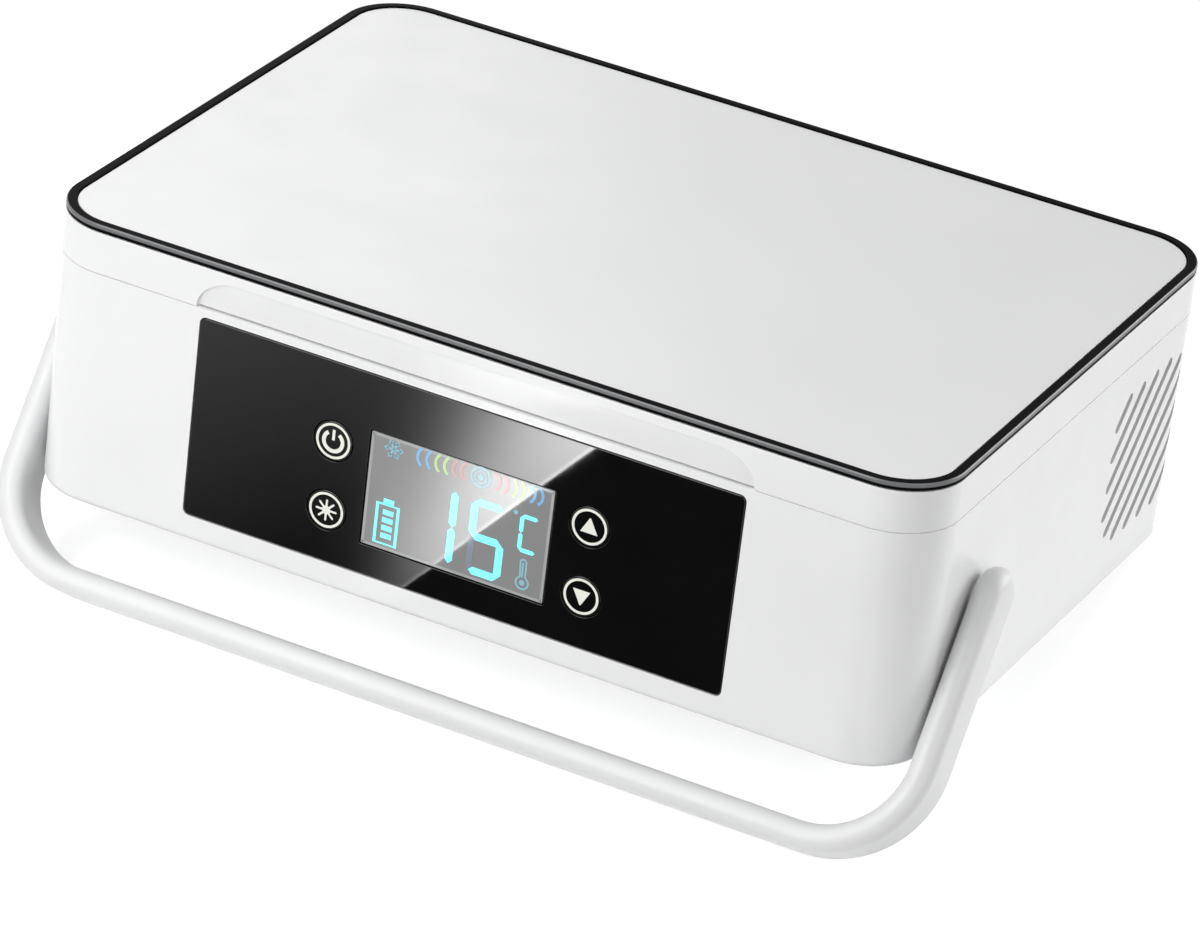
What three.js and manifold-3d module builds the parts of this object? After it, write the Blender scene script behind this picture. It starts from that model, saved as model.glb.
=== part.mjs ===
// Insulin cooling case: hinged lid, swinging carry handle, front display with four keys,
// cooled tray, thermoelectric module with heat sink and fan, and a battery bay at the rear.
// Millimetres. X runs across the front, Y runs to the rear, Z runs up.
// The origin is the centre of the base cover's underside.
import * as THREE from "three";
import { mergeVertices } from "three/addons/utils/BufferGeometryUtils.js";
import Module from "manifold-3d";

const wasm = await Module();
wasm.setup();

// Whole case
const caseWidth = 240;
const caseDepth = 171.5;
const caseHeight = 75.8;
const cornerRadius = 17;
const bottomRound = 1.6;
const wall = 2.2;
const lidHeight = 13.4;
const gap = 0.3;
const overrun = 1;

const sideFace = caseWidth / 2;
const rearFace = caseDepth / 2;
const frontFace = -rearFace;
const shellHeight = caseHeight - lidHeight;
const lidBottom = shellHeight + gap;

// Steps in round outlines
const cornerSteps = 5;
const roundSteps = 24;
const smallSteps = 16;

// Display window, keys beside it and their switches
const windowWidth = 50.2;
const keyMargin = 9.65;
const lowRowShare = 0.2575;
const highRowShare = 0.609;
const keyRadius = 5.2;
const keyFlange = 1;
const keyFlangeThickness = 0.8;
const keyTravel = 0.5;
const stemRadius = 1.5;
const stemReach = 1.5;
const switchSide = 6.4;
const switchHeight = 3.7;
const keyColumn = windowWidth / 2 + keyMargin;

// Front panel and the ledge that carries it
const panelMargin = 38.65;
const panelThickness = 2;
const panelRadius = 1.5;
const panelBelow = 7.2;
const panelAbove = 2;
const panelLedge = 3;
const padMargin = 3.2;
const padThickness = 2;
const panelHalf = keyColumn + panelMargin;
const panelHigh = shellHeight - panelAbove;
const panelHeight = panelHigh - panelBelow;
const panelBack = frontFace + panelThickness;
const padBack = panelBack + gap + padThickness;

// Display glass and the board behind it
const windowLowShare = 0.1485;
const windowHighShare = 0.729;
const glassSink = 0.2;
const displayRim = 2;
const displayBoardSetback = 11;
const boardThickness = 1.6;
const boardBossRadius = 2.3;
const boardBossInset = 5;
const boardEdgeInset = 2.6;
const boardFront = frontFace + displayBoardSetback;

// Base cover, feet and screws
const coverThickness = 2.5;
const footRadius = 7;
const footPocket = 1.2;
const footProud = 2;
const footInset = 26;
const screwInsetX = 13.5;
const screwInsetY = 8.55;
const postSide = 8.4;
const screwHeadRadius = 2.8;
const screwHeadHeight = 1.4;
const screwRadius = 1.5;
const screwLength = 12;
const screwSink = 0.2;

// Inner deck, cooled tray and the foam round it
const deckDrop = 2.1;
const deckThickness = 1.8;
const boardBackRoom = 2.75;
const pivotRoom = 10.3;
const foamWall = 10.2;
const trayFloor = 18;
const trayWall = 1.2;
const trayRadius = 6;
const trayFlange = 4.6;
const deckTop = shellHeight - deckDrop;
const deckBottom = deckTop - deckThickness;
const foamHalf = sideFace - wall - pivotRoom;
const foamFront = boardFront + boardThickness + boardBackRoom;
const trayHalf = foamHalf - foamWall;
const trayFront = foamFront + foamWall;
const flangeTop = deckTop + gap + trayWall;

// Battery packs, bay and contacts
const packWidth = 37;
const packLength = 69;
const packThickness = 19;
const packGap = 0.8;
const packEndGap = 0.85;
const cellRadiusShare = 0.42;
const bayWall = 1.5;
const baySetIn = 4.2;
const bayEndSetback = 4.45;
const bayHeadroom = 0.8;
const contactThickness = 1.5;
const contactWidth = 9;
const contactHeight = 12;
const packRear = rearFace - wall - packEndGap;
const packFront = packRear - packLength;
const contactFront = packFront - gap - contactThickness;
const bayFront = contactFront - gap - bayWall;
const bayLow = coverThickness + gap;
const bayFloor = bayLow + bayWall;
const bayCeiling = bayFloor + packThickness + bayHeadroom;
const bayInnerLeft = -sideFace + cornerRadius + baySetIn + bayWall;
const bayInnerRight = bayInnerLeft + packWidth * 2 + packGap * 3;
const bayRight = bayInnerRight + bayWall;
const foamRear = bayFront - gap;
const trayRear = foamRear - foamWall;

// Battery door, hinged along its upper edge
const doorThickness = 1.45;
const doorBeadRadius = 1.1;
const doorStubRadius = 0.8;
const doorStubLength = 2;
const doorEar = 3;
const doorEarDepth = 1.8;
const doorEarHeight = 2.2;
const doorHingeInset = 2.35;
const doorHingeRise = 0.8;
const doorLip = 1;
const doorHeadroom = 2.45;
const doorHingeY = rearFace - doorHingeInset;
const doorHingeZ = bayCeiling + bayWall + doorHingeRise;

// Vents, fan, heat sink, cold plate and thermoelectric module
const ventFromRear = 8.95;
const ventWidth = 46.05;
const ventLow = 12.3;
const ventAbove = 8.6;
const ventPitch = 8.4;
const ventSlot = 2.5;
const ventFirst = 7.95;
const ventCut = 8;
const ventCount = 10;
const ventCorner = 11.2;
const ventSlant = Math.PI / 4;
const ventHigh = shellHeight - ventAbove;
const ventRear = rearFace - ventFromRear;
const ventFront = ventRear - ventWidth;
const fanRim = 0.75;
const fanDepth = 10;
const fanSetback = 14.2;
const fanClearance = 0.6;
const fanWall = 1.1;
const fanHubRadius = 9;
const fanStrut = 2.4;
const fanStrutCount = 3;
const fanPlate = 1.5;
const fanBearingRadius = 3;
const fanBearingLength = 3.6;
const fanShaftRadius = 1.2;
const fanBladeCount = 7;
const fanBladeThickness = 0.9;
const fanBladeTilt = Math.PI / 5;
const fanCap = 1.4;
const fanSide = ventHigh - ventLow - fanRim * 2;
const fanMiddleZ = (ventHigh + ventLow) / 2;
const fanMiddleY = rearFace - fanSetback - fanSide / 2;
const fanOuter = sideFace - wall - fanClearance;
const fanInner = fanOuter - fanDepth;
const sinkAirGap = 6.5;
const sinkLength = 64;
const sinkBase = 4.5;
const finDepth = 50;
const finThickness = 1.4;
const finCount = 10;
const moduleSide = 38;
const moduleThickness = 3.6;
const plateProud = 0.9;
const plateFront = trayRear + gap;
const moduleFront = foamRear + plateProud + gap;
const sinkFront = moduleFront + moduleThickness + gap;
const sinkRight = fanInner - sinkAirGap;
const sinkLeft = sinkRight - sinkLength;
const sinkMiddle = (sinkLeft + sinkRight) / 2;

// Main board, its parts and the power inlet
const mainBoardMargin = 4;
const mainBoardSetback = 8;
const mainBoardRearInset = 7.7;
const mainBoardRise = 8;
const standoffRadius = 2.6;
const standoffInset = 4;
const jackWidth = 9;
const jackHeight = 11;
const jackDepth = 13;
const jackNoseRadius = 4;
const jackBoreRadius = 2.8;
const jackBoreDepth = 9;
const jackPinRadius = 0.9;
const coilRadius = 6;
const coilHeight = 7;
const capacitorRadius = 4;
const capacitorHeight = 11;
const chipSide = 9;
const chipHeight = 2;
const mainBoardLeft = bayRight + mainBoardMargin;
const mainBoardRight = sinkLeft - mainBoardMargin;
const mainBoardFront = foamRear + mainBoardSetback;
const mainBoardRear = rearFace - mainBoardRearInset;
const mainBoardTop = mainBoardRise + boardThickness;
const jackX = (mainBoardLeft + mainBoardRight) / 2;
const jackZ = mainBoardTop + gap + jackHeight / 2;

// Temperature probe beside the tray
const probeRadius = 1.8;
const probeLength = 12;
const probeZ = 32;

// Carry handle: a flat strap bent into a bail, on two side pivots
const pivotSetback = 34.85;
const pivotHeight = 35.8;
const handleReach = 67.4;
const handleBend = 24.5;
const strapThickness = 7;
const strapWidth = 16.4;
const armGap = 1;
const handleDroop = THREE.MathUtils.degToRad(56.3);
const strapSteps = 60;
const strapEdgeSteps = 3;
const stubRadius = 4;
const stubGroove = 0.8;
const stubTip = 1.5;
const bossRadius = 7.5;
const bossLength = 3;
const clipThickness = 1.5;
const clipRadius = 7;
const clipMouth = 5.4;
const pivotY = frontFace + pivotSetback;
const bossEnd = sideFace - wall - bossLength;
const clipOuter = bossEnd - gap;
const clipInner = clipOuter - clipThickness;
const stubEnd = clipInner - gap - stubTip;
const armMiddle = sideFace + armGap + strapThickness / 2;

// Lid: frame, rim, top panel, liner with its plug, gasket and catch magnets
const rimWidth = 2.5;
const rimHeight = 1.9;
const topPanelSink = 0.3;
const topPanelThickness = 1;
const lidSkin = 1.8;
const lidWall = 3.6;
const scoopMargin = 1.1;
const scoopHeight = 8.4;
const scoopRadius = 8.2;
const scoopDepth = 2.6;
const linerSeat = 1;
const linerThickness = 1.5;
const plugClearance = 1.9;
const plugDepth = 4.2;
const gasketWidth = 4;
const gasketOut = 3.8;
const magnetSpan = 100;
const magnetLength = 12;
const magnetWidth = 6;
const crownTop = caseHeight - topPanelSink - topPanelThickness - gap;
const lidCeiling = crownTop - lidSkin;
const linerBottom = lidBottom + linerSeat;
const linerTop = linerBottom + linerThickness;
const plugBottom = deckTop - plugDepth;
const plugInset = trayWall + plugClearance;
const magnetY = (frontFace + wall + trayFront - trayFlange) / 2;

// Lid hinges on the rear wall
const hingeSpan = 140;
const hingeStandoff = 3.4;
const knuckleRadius = 3;
const lidKnuckle = 12;
const shellKnuckle = 8;
const knuckleWeb = 6;
const lidWeb = 2.7;
const pinRadius = 1.2;
const hingeY = rearFace + hingeStandoff;
const hingeZ = shellHeight + gap / 2;

// A closed geometry as a solid that can be joined and cut.
function solidOf(geometry) {
  geometry.deleteAttribute("normal");
  geometry.deleteAttribute("uv");
  const merged = mergeVertices(geometry);
  const vertProperties = merged.attributes.position.array;
  const triVerts = new Uint32Array(merged.index.array);
  return new wasm.Manifold(new wasm.Mesh({ numProp: 3, vertProperties, triVerts }));
}

// A solid as flat shaded geometry.
function geometryOf(solid) {
  const mesh = solid.getMesh();
  const geometry = new THREE.BufferGeometry();
  geometry.setAttribute("position", new THREE.BufferAttribute(mesh.vertProperties, 3));
  geometry.setIndex(new THREE.BufferAttribute(mesh.triVerts, 1));
  const flat = geometry.toNonIndexed();
  flat.computeVertexNormals();
  return flat;
}

const joined = (first, ...others) => others.reduce((sum, other) => sum.add(other), first);
const cut = (body, ...tools) => tools.reduce((rest, tool) => rest.subtract(tool), body);

// A box between two corners.
function block(x, y, z) {
  const geometry = new THREE.BoxGeometry(x[1] - x[0], y[1] - y[0], z[1] - z[0]);
  geometry.translate((x[0] + x[1]) / 2, (y[0] + y[1]) / 2, (z[0] + z[1]) / 2);
  return solidOf(geometry);
}

// Round bars along each axis, from one end to the other, through a point of the other two.
function rodX(radius, x, y, z, steps = smallSteps) {
  const geometry = new THREE.CylinderGeometry(radius, radius, x[1] - x[0], steps);
  geometry.rotateZ(-Math.PI / 2);
  geometry.translate((x[0] + x[1]) / 2, y, z);
  return solidOf(geometry);
}

function rodY(radius, y, x, z, steps = smallSteps) {
  const geometry = new THREE.CylinderGeometry(radius, radius, y[1] - y[0], steps);
  geometry.translate(x, (y[0] + y[1]) / 2, z);
  return solidOf(geometry);
}

function rodZ(radius, z, x, y, steps = smallSteps) {
  const geometry = new THREE.CylinderGeometry(radius, radius, z[1] - z[0], steps);
  geometry.rotateX(Math.PI / 2);
  geometry.translate(x, y, (z[0] + z[1]) / 2);
  return solidOf(geometry);
}

// A rectangle with round corners, between two corners.
function roundedOutline(x, y, radius) {
  const shape = new THREE.Shape();
  shape.absarc(x[1] - radius, y[0] + radius, radius, -Math.PI / 2, 0);
  shape.absarc(x[1] - radius, y[1] - radius, radius, 0, Math.PI / 2);
  shape.absarc(x[0] + radius, y[1] - radius, radius, Math.PI / 2, Math.PI);
  shape.absarc(x[0] + radius, y[0] + radius, radius, Math.PI, Math.PI * 1.5);
  shape.closePath();
  return shape;
}

// The case's plan outline, drawn in from its faces by an inset.
function caseOutline(inset) {
  const x = [-sideFace + inset, sideFace - inset];
  const y = [frontFace + inset, rearFace - inset];
  return roundedOutline(x, y, cornerRadius - inset);
}

// The tray's plan outline, grown by an offset.
function trayOutline(offset) {
  const x = [-trayHalf - offset, trayHalf + offset];
  const y = [trayFront - offset, trayRear + offset];
  return roundedOutline(x, y, trayRadius + offset);
}

// A plan outline raised between two heights.
function slab(shape, z) {
  const options = { depth: z[1] - z[0], bevelEnabled: false, curveSegments: cornerSteps };
  const geometry = new THREE.ExtrudeGeometry(shape, options);
  geometry.translate(0, 0, z[0]);
  return solidOf(geometry);
}

// A front outline, in X and Z, carried back between two depths.
function frontSlab(shape, y) {
  const options = { depth: y[1] - y[0], bevelEnabled: false, curveSegments: cornerSteps };
  const geometry = new THREE.ExtrudeGeometry(shape, options);
  geometry.rotateX(Math.PI / 2);
  geometry.translate(0, y[1], 0);
  return solidOf(geometry);
}

const both = [-1, 1];
const corners = both.flatMap((sideX) => both.map((sideY) => [sideX, sideY]));
const lowRow = panelBelow + panelHeight * lowRowShare;
const highRow = panelBelow + panelHeight * highRowShare;
const keyPlaces = {
  power: [-keyColumn, highRow],
  light: [-keyColumn, lowRow],
  up: [keyColumn, highRow],
  down: [keyColumn, lowRow],
};

// The case wall with a softened lower edge, cut off level at the lid.
function caseWall() {
  const options = {
    depth: caseHeight - bottomRound * 2,
    bevelEnabled: true,
    bevelThickness: bottomRound,
    bevelSize: bottomRound,
    bevelOffset: -bottomRound,
    bevelSegments: 2,
    curveSegments: cornerSteps,
  };
  const geometry = new THREE.ExtrudeGeometry(caseOutline(0), options);
  geometry.translate(0, 0, bottomRound);
  const above = slab(caseOutline(-overrun), [shellHeight, caseHeight + overrun]);
  const inside = slab(caseOutline(wall), [-overrun, caseHeight + overrun]);
  return cut(solidOf(geometry), above, inside);
}

// The pad behind the front panel, the bosses for the display board.
function panelPad() {
  const half = panelHalf + padMargin;
  const y = [frontFace + wall / 2, padBack];
  const pad = block([-half, half], y, [panelBelow - padMargin, shellHeight]);
  const bosses = boardBossPlaces().map(([x, z]) => {
    return rodY(boardBossRadius, [frontFace + wall / 2, boardFront - gap], x, z);
  });
  return joined(pad, ...bosses);
}

function boardBossPlaces() {
  const x = panelHalf + (padMargin - panelLedge) / 2;
  const heights = [panelBelow + boardBossInset, panelHigh - boardBossInset];
  return both.flatMap((side) => heights.map((z) => [side * x, z]));
}

// The panel's outline in X and Z, grown by an offset.
function panelOutline(offset) {
  const half = panelHalf + offset;
  const z = [panelBelow - offset, panelHigh + offset];
  return roundedOutline([-half, half], z, panelRadius);
}

// Where a slot ends: on the rounded corner of its field with this middle, or on the
// straight border if it passes beside the corner.
function slotEnd(offset, y, z, way, border) {
  const aside = (y - z - offset) ** 2 / 2;
  const round = ventCorner ** 2 / 2;
  return aside > round ? border : (y + z + offset) / 2 + way * Math.sqrt(round - aside / 2);
}

// The slots of one side: slanting cuts that end on a square, which is rounded at the
// two corners that the slots run into.
function ventSlots(side) {
  const x = (sideFace + overrun + sideFace - ventCut) / 2;
  return Array.from({ length: ventCount }, (_, index) => {
    const offset = ventFront - ventHigh + ventFirst + index * ventPitch;
    const lowBorder = Math.max(ventFront, ventLow + offset);
    const highBorder = Math.min(ventRear, ventHigh + offset);
    const low = slotEnd(offset, ventFront + ventCorner, ventLow + ventCorner, -1, lowBorder);
    const high = slotEnd(offset, ventRear - ventCorner, ventHigh - ventCorner, 1, highBorder);
    const length = (high - low) / Math.sin(ventSlant);
    const slot = new THREE.BoxGeometry(ventCut + overrun, ventSlot, length);
    slot.rotateX(-ventSlant);
    slot.translate(side * x, (low + high) / 2, (low + high) / 2 - offset);
    return solidOf(slot);
  });
}

// One rear knuckle of the shell with the web that carries it.
function shellKnuckles(side) {
  const middle = (side * hingeSpan) / 2;
  const inner = lidKnuckle / 2 + gap;
  return both.map((end) => {
    const x = [middle + end * inner, middle + end * (inner + shellKnuckle)].sort((a, b) => a - b);
    const web = block(x, [rearFace - wall / 2, hingeY], [shellHeight - knuckleWeb, shellHeight]);
    return joined(rodX(knuckleRadius, x, hingeY, hingeZ), web);
  });
}

// The two ears that hold the battery door's stubs, and their bore.
function doorEars() {
  const y = [doorHingeY - doorEarDepth, rearFace - wall / 2];
  const z = [doorHingeZ - doorEarHeight, doorHingeZ + doorEarHeight];
  const left = block([bayInnerLeft - doorEar, bayInnerLeft], y, z);
  const right = block([bayInnerRight, bayInnerRight + doorEar], y, z);
  return joined(left, right);
}

function doorEarBore() {
  const x = [bayInnerLeft - doorEar - overrun, bayInnerRight + doorEar + overrun];
  return rodX(doorStubRadius + gap, x, doorHingeY, doorHingeZ);
}

function cornerPost([sideX, sideY]) {
  const x = sideX * (sideFace - screwInsetX);
  const y = sideY * (rearFace - screwInsetY);
  const half = postSide / 2;
  const z = [coverThickness + gap, deckBottom - gap];
  const post = block([x - half, x + half], [y - half, y + half], z);
  const bore = rodZ(screwRadius + gap, [-overrun, screwLength + gap], x, y);
  return cut(post, bore);
}

function bodyShell() {
  const bosses = both.map((side) => {
    const x = [bossEnd, sideFace - wall / 2].map((value) => side * value).sort((a, b) => a - b);
    return rodX(bossRadius, x, pivotY, pivotHeight, roundSteps);
  });
  const posts = corners.map(cornerPost);
  const knuckles = both.flatMap(shellKnuckles);
  const shell = joined(caseWall(), panelPad(), ...bosses, ...posts, ...knuckles, doorEars());
  const recess = frontSlab(panelOutline(gap), [frontFace - overrun, panelBack + gap]);
  const window = frontSlab(panelOutline(-panelLedge), [frontFace - overrun, padBack + overrun]);
  const pivots = rodX(
    stubRadius + gap,
    [-sideFace - overrun, sideFace + overrun],
    pivotY,
    pivotHeight,
    roundSteps,
  );
  const across = [-hingeSpan, hingeSpan];
  const hingeBore = rodX(pinRadius + gap, across, hingeY, hingeZ);
  const doorway = block(
    [bayInnerLeft, bayInnerRight],
    [rearFace - wall - overrun, rearFace + overrun],
    [bayFloor, doorHingeZ + doorHeadroom],
  );
  const jackHole = rodY(
    jackNoseRadius + gap,
    [rearFace - wall - overrun, rearFace + overrun],
    jackX,
    jackZ,
  );
  const vents = both.flatMap(ventSlots);
  return cut(shell, recess, window, pivots, hingeBore, doorway, jackHole, doorEarBore(), ...vents);
}

function baseCover() {
  const plate = slab(caseOutline(wall + gap), [0, coverThickness]);
  const top = mainBoardRise - gap;
  const standoffs = standoffPlaces().map(([x, y]) => {
    return rodZ(standoffRadius, [coverThickness / 2, top], x, y);
  });
  const pockets = corners.map(([sideX, sideY]) => {
    const [x, y] = footPlace(sideX, sideY);
    return rodZ(footRadius + gap, [-overrun, footPocket], x, y, roundSteps);
  });
  const screwHoles = corners.flatMap(([sideX, sideY]) => {
    const x = sideX * (sideFace - screwInsetX);
    const y = sideY * (rearFace - screwInsetY);
    const head = rodZ(screwHeadRadius + gap, [-overrun, screwSink + screwHeadHeight + gap], x, y);
    return [head, rodZ(screwRadius + gap, [-overrun, coverThickness + overrun], x, y)];
  });
  return cut(joined(plate, ...standoffs), ...pockets, ...screwHoles);
}

function standoffPlaces() {
  const xs = [mainBoardLeft + standoffInset, mainBoardRight - standoffInset];
  const ys = [mainBoardFront + standoffInset, mainBoardRear - standoffInset];
  return xs.flatMap((x) => ys.map((y) => [x, y]));
}

function footPlace(sideX, sideY) {
  return [sideX * (sideFace - footInset), sideY * (rearFace - footInset)];
}

function foot([sideX, sideY]) {
  const [x, y] = footPlace(sideX, sideY);
  return rodZ(footRadius, [-footProud, footPocket - gap], x, y, roundSteps);
}

function baseScrew([sideX, sideY]) {
  const x = sideX * (sideFace - screwInsetX);
  const y = sideY * (rearFace - screwInsetY);
  const head = rodZ(screwHeadRadius, [screwSink, screwSink + screwHeadHeight], x, y);
  return joined(head, rodZ(screwRadius, [screwSink, screwLength], x, y));
}

function innerDeck() {
  const past = [deckBottom - overrun, deckTop + overrun];
  const plate = slab(caseOutline(wall + gap), [deckBottom, deckTop]);
  const half = panelHalf + padMargin + gap;
  const notch = block([-half, half], [frontFace, padBack + gap], past);
  return cut(plate, notch, slab(trayOutline(gap), past));
}

function coldTray() {
  const box = slab(trayOutline(0), [trayFloor, flangeTop]);
  const flange = slab(trayOutline(trayFlange), [deckTop + gap, flangeTop]);
  const hollow = slab(trayOutline(-trayWall), [trayFloor + trayWall, flangeTop + overrun]);
  return cut(joined(box, flange), hollow);
}

function coldPlateBounds(offset) {
  const half = moduleSide / 2 + offset;
  const rise = fanMiddleZ - trayFloor - gap + offset;
  return [
    [sinkMiddle - half, sinkMiddle + half],
    [fanMiddleZ - rise, fanMiddleZ + rise],
  ];
}

function foamBlock() {
  const x = [-foamHalf, foamHalf];
  const z = [coverThickness + gap, deckBottom - gap];
  const foam = block(x, [foamFront, foamRear], z);
  const pocket = slab(trayOutline(gap), [trayFloor - gap, deckBottom + overrun]);
  const [plateX, plateZ] = coldPlateBounds(gap);
  const plateWay = block(plateX, [trayRear - overrun, foamRear + overrun], plateZ);
  return cut(foam, pocket, plateWay, probeBody(gap));
}

// The probe lies against the tray's left end.
function probeBody(offset) {
  const x = -trayHalf - gap - probeRadius;
  const middle = (trayFront + trayRear) / 2;
  const half = probeLength / 2 + offset;
  const radius = probeRadius + offset;
  const y = [middle - half, middle + half];
  if (offset === 0) return rodY(radius, y, x, probeZ);
  return block([x - radius, x + radius + gap], y, [probeZ - radius, probeZ + radius]);
}

function coldPlate() {
  const [x, z] = coldPlateBounds(0);
  return block(x, [plateFront, moduleFront - gap], z);
}

function thermoelectricModule() {
  const half = moduleSide / 2;
  const x = [sinkMiddle - half, sinkMiddle + half];
  const z = [fanMiddleZ - half, fanMiddleZ + half];
  return block(x, [moduleFront, moduleFront + moduleThickness], z);
}

function heatSink() {
  const x = [sinkLeft, sinkRight];
  const low = fanMiddleZ - fanSide / 2;
  const base = block(x, [sinkFront, sinkFront + sinkBase], [low, low + fanSide]);
  const pitch = (fanSide - finThickness) / (finCount - 1);
  const fins = Array.from({ length: finCount }, (_, index) => {
    const z = low + index * pitch;
    const y = [sinkFront + sinkBase / 2, sinkFront + sinkBase + finDepth];
    return block(x, y, [z, z + finThickness]);
  });
  return joined(base, ...fins);
}

function fanFrame() {
  const half = fanSide / 2;
  const y = [fanMiddleY - half, fanMiddleY + half];
  const z = [fanMiddleZ - half, fanMiddleZ + half];
  const plateX = [fanInner, fanInner + fanPlate];
  const ring = cut(
    block([fanInner, fanOuter], y, z),
    rodX(half - fanWall, [fanInner - overrun, fanOuter + overrun], fanMiddleY, fanMiddleZ, roundSteps),
  );
  const struts = Array.from({ length: fanStrutCount }, (_, index) => {
    const strut = new THREE.BoxGeometry(fanPlate, half - fanWall / 2, fanStrut);
    strut.translate((plateX[0] + plateX[1]) / 2, (half - fanWall / 2) / 2, 0);
    strut.rotateX((index * Math.PI * 2) / fanStrutCount);
    strut.translate(0, fanMiddleY, fanMiddleZ);
    return solidOf(strut);
  });
  const hub = rodX(fanHubRadius, plateX, fanMiddleY, fanMiddleZ);
  const bearingX = [fanInner, plateX[1] + fanBearingLength];
  const bearing = rodX(fanBearingRadius, bearingX, fanMiddleY, fanMiddleZ);
  const boreX = [plateX[1], bearingX[1] + overrun];
  const bore = rodX(fanShaftRadius + gap, boreX, fanMiddleY, fanMiddleZ);
  return cut(joined(ring, ...struts, hub, bearing), bore);
}

function fanRotor() {
  const start = fanInner + fanPlate + gap;
  const bearingEnd = fanInner + fanPlate + fanBearingLength + gap;
  const end = fanOuter - gap - fanCap / 2;
  const tip = fanSide / 2 - fanWall - gap * 2;
  const hub = rodX(fanHubRadius, [start, end], fanMiddleY, fanMiddleZ);
  const cup = rodX(
    fanBearingRadius + gap,
    [start - overrun, bearingEnd],
    fanMiddleY,
    fanMiddleZ,
  );
  const shaftX = [start, bearingEnd + fanCap];
  const shaft = rodX(fanShaftRadius, shaftX, fanMiddleY, fanMiddleZ);
  const depth = end - start;
  const span = tip - fanHubRadius / 2;
  const blades = Array.from({ length: fanBladeCount }, (_, index) => {
    const chord = depth / Math.cos(fanBladeTilt) - fanBladeThickness;
    const blade = new THREE.BoxGeometry(chord, span, fanBladeThickness);
    blade.rotateY(fanBladeTilt);
    blade.translate(0, tip - span / 2, 0);
    blade.rotateX((index * Math.PI * 2) / fanBladeCount);
    blade.translate((start + end) / 2, fanMiddleY, fanMiddleZ);
    return solidOf(blade);
  });
  const sweep = rodX(tip, [start, end], fanMiddleY, fanMiddleZ, roundSteps);
  const wheel = joined(hub, ...blades).intersect(sweep);
  return joined(cut(wheel, cup), shaft);
}

function mainBoard() {
  const x = [mainBoardLeft, mainBoardRight];
  const y = [mainBoardFront, mainBoardRear];
  const across = mainBoardRight - mainBoardLeft;
  const along = mainBoardRear - mainBoardFront;
  const coilPlaceShares = [0.28, 0.3];
  const capacitorPlaceShares = [
    [0.75, 0.22],
    [0.75, 0.42],
  ];
  const chipPlaceShares = [0.32, 0.62];
  const at = ([shareX, shareY]) => [mainBoardLeft + across * shareX, mainBoardFront + along * shareY];
  const inBoard = mainBoardTop - boardThickness / 2;
  const coil = rodZ(coilRadius, [inBoard, mainBoardTop + coilHeight], ...at(coilPlaceShares));
  const capacitors = capacitorPlaceShares.map((place) => {
    return rodZ(capacitorRadius, [inBoard, mainBoardTop + capacitorHeight], ...at(place));
  });
  const [chipX, chipY] = at(chipPlaceShares);
  const half = chipSide / 2;
  const chip = block(
    [chipX - half, chipX + half],
    [chipY - half, chipY + half],
    [inBoard, mainBoardTop + chipHeight],
  );
  return joined(block(x, y, [mainBoardRise, mainBoardTop]), coil, ...capacitors, chip);
}

function jack() {
  const half = jackWidth / 2;
  const rear = rearFace - wall - gap;
  const noseEnd = rearFace - gap;
  const z = [mainBoardTop + gap, mainBoardTop + gap + jackHeight];
  const body = block([jackX - half, jackX + half], [rear - jackDepth, rear], z);
  const nose = rodY(jackNoseRadius, [rear - jackDepth / 2, noseEnd], jackX, jackZ);
  const bore = rodY(jackBoreRadius, [noseEnd - jackBoreDepth, noseEnd + overrun], jackX, jackZ);
  const pinY = [noseEnd - jackBoreDepth - overrun, noseEnd - overrun];
  return joined(cut(joined(body, nose), bore), rodY(jackPinRadius, pinY, jackX, jackZ));
}

function displayBoard() {
  const half = panelHalf + (padMargin - panelLedge) / 2 + boardBossRadius;
  const z = [panelBelow + boardEdgeInset, panelHigh - boardEdgeInset];
  return block([-half, half], [boardFront, boardFront + boardThickness], z);
}

function windowBounds(offset) {
  const half = windowWidth / 2 + offset;
  const low = panelBelow + panelHeight * windowLowShare;
  const high = panelBelow + panelHeight * windowHighShare;
  return [
    [-half, half],
    [low - offset, high + offset],
  ];
}

function displayModule() {
  const [glassX, glassZ] = windowBounds(-gap);
  const [backX, backZ] = windowBounds(displayRim);
  const glass = block(glassX, [frontFace + glassSink, boardFront - gap], glassZ);
  return joined(glass, block(backX, [panelBack + gap, boardFront - gap], backZ));
}

function frontPanel() {
  const sheet = frontSlab(panelOutline(0), [frontFace, panelBack]);
  const [x, z] = windowBounds(0);
  const through = [frontFace - overrun, panelBack + overrun];
  const keyHoles = Object.values(keyPlaces).map(([keyX, keyZ]) => {
    return rodY(keyRadius + gap, through, keyX, keyZ, roundSteps);
  });
  return cut(sheet, block(x, through, z), ...keyHoles);
}

function key([x, z]) {
  const flangeFront = panelBack + gap;
  const flangeBack = flangeFront + keyFlangeThickness;
  const switchFront = boardFront - gap - switchHeight;
  const cap = rodY(keyRadius, [frontFace, flangeBack], x, z, roundSteps);
  const flange = rodY(keyRadius + keyFlange, [flangeFront, flangeBack], x, z, roundSteps);
  return joined(cap, flange, rodY(stemRadius, [flangeFront, switchFront + stemReach], x, z));
}

function keySwitch([x, z]) {
  const half = switchSide / 2;
  const front = boardFront - gap - switchHeight;
  const body = block([x - half, x + half], [front, boardFront - gap], [z - half, z + half]);
  const bore = rodY(stemRadius + gap, [front - overrun, front + stemReach + keyTravel * 2], x, z);
  return cut(body, bore);
}

function batteryBay() {
  const x = [bayInnerLeft - bayWall, bayRight];
  const y = [bayFront, rearFace - bayEndSetback];
  const box = block(x, y, [bayLow, bayCeiling + bayWall]);
  const room = block(
    [bayInnerLeft, bayInnerRight],
    [bayFront + bayWall, rearFace],
    [bayFloor, bayCeiling],
  );
  return cut(box, room);
}

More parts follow.
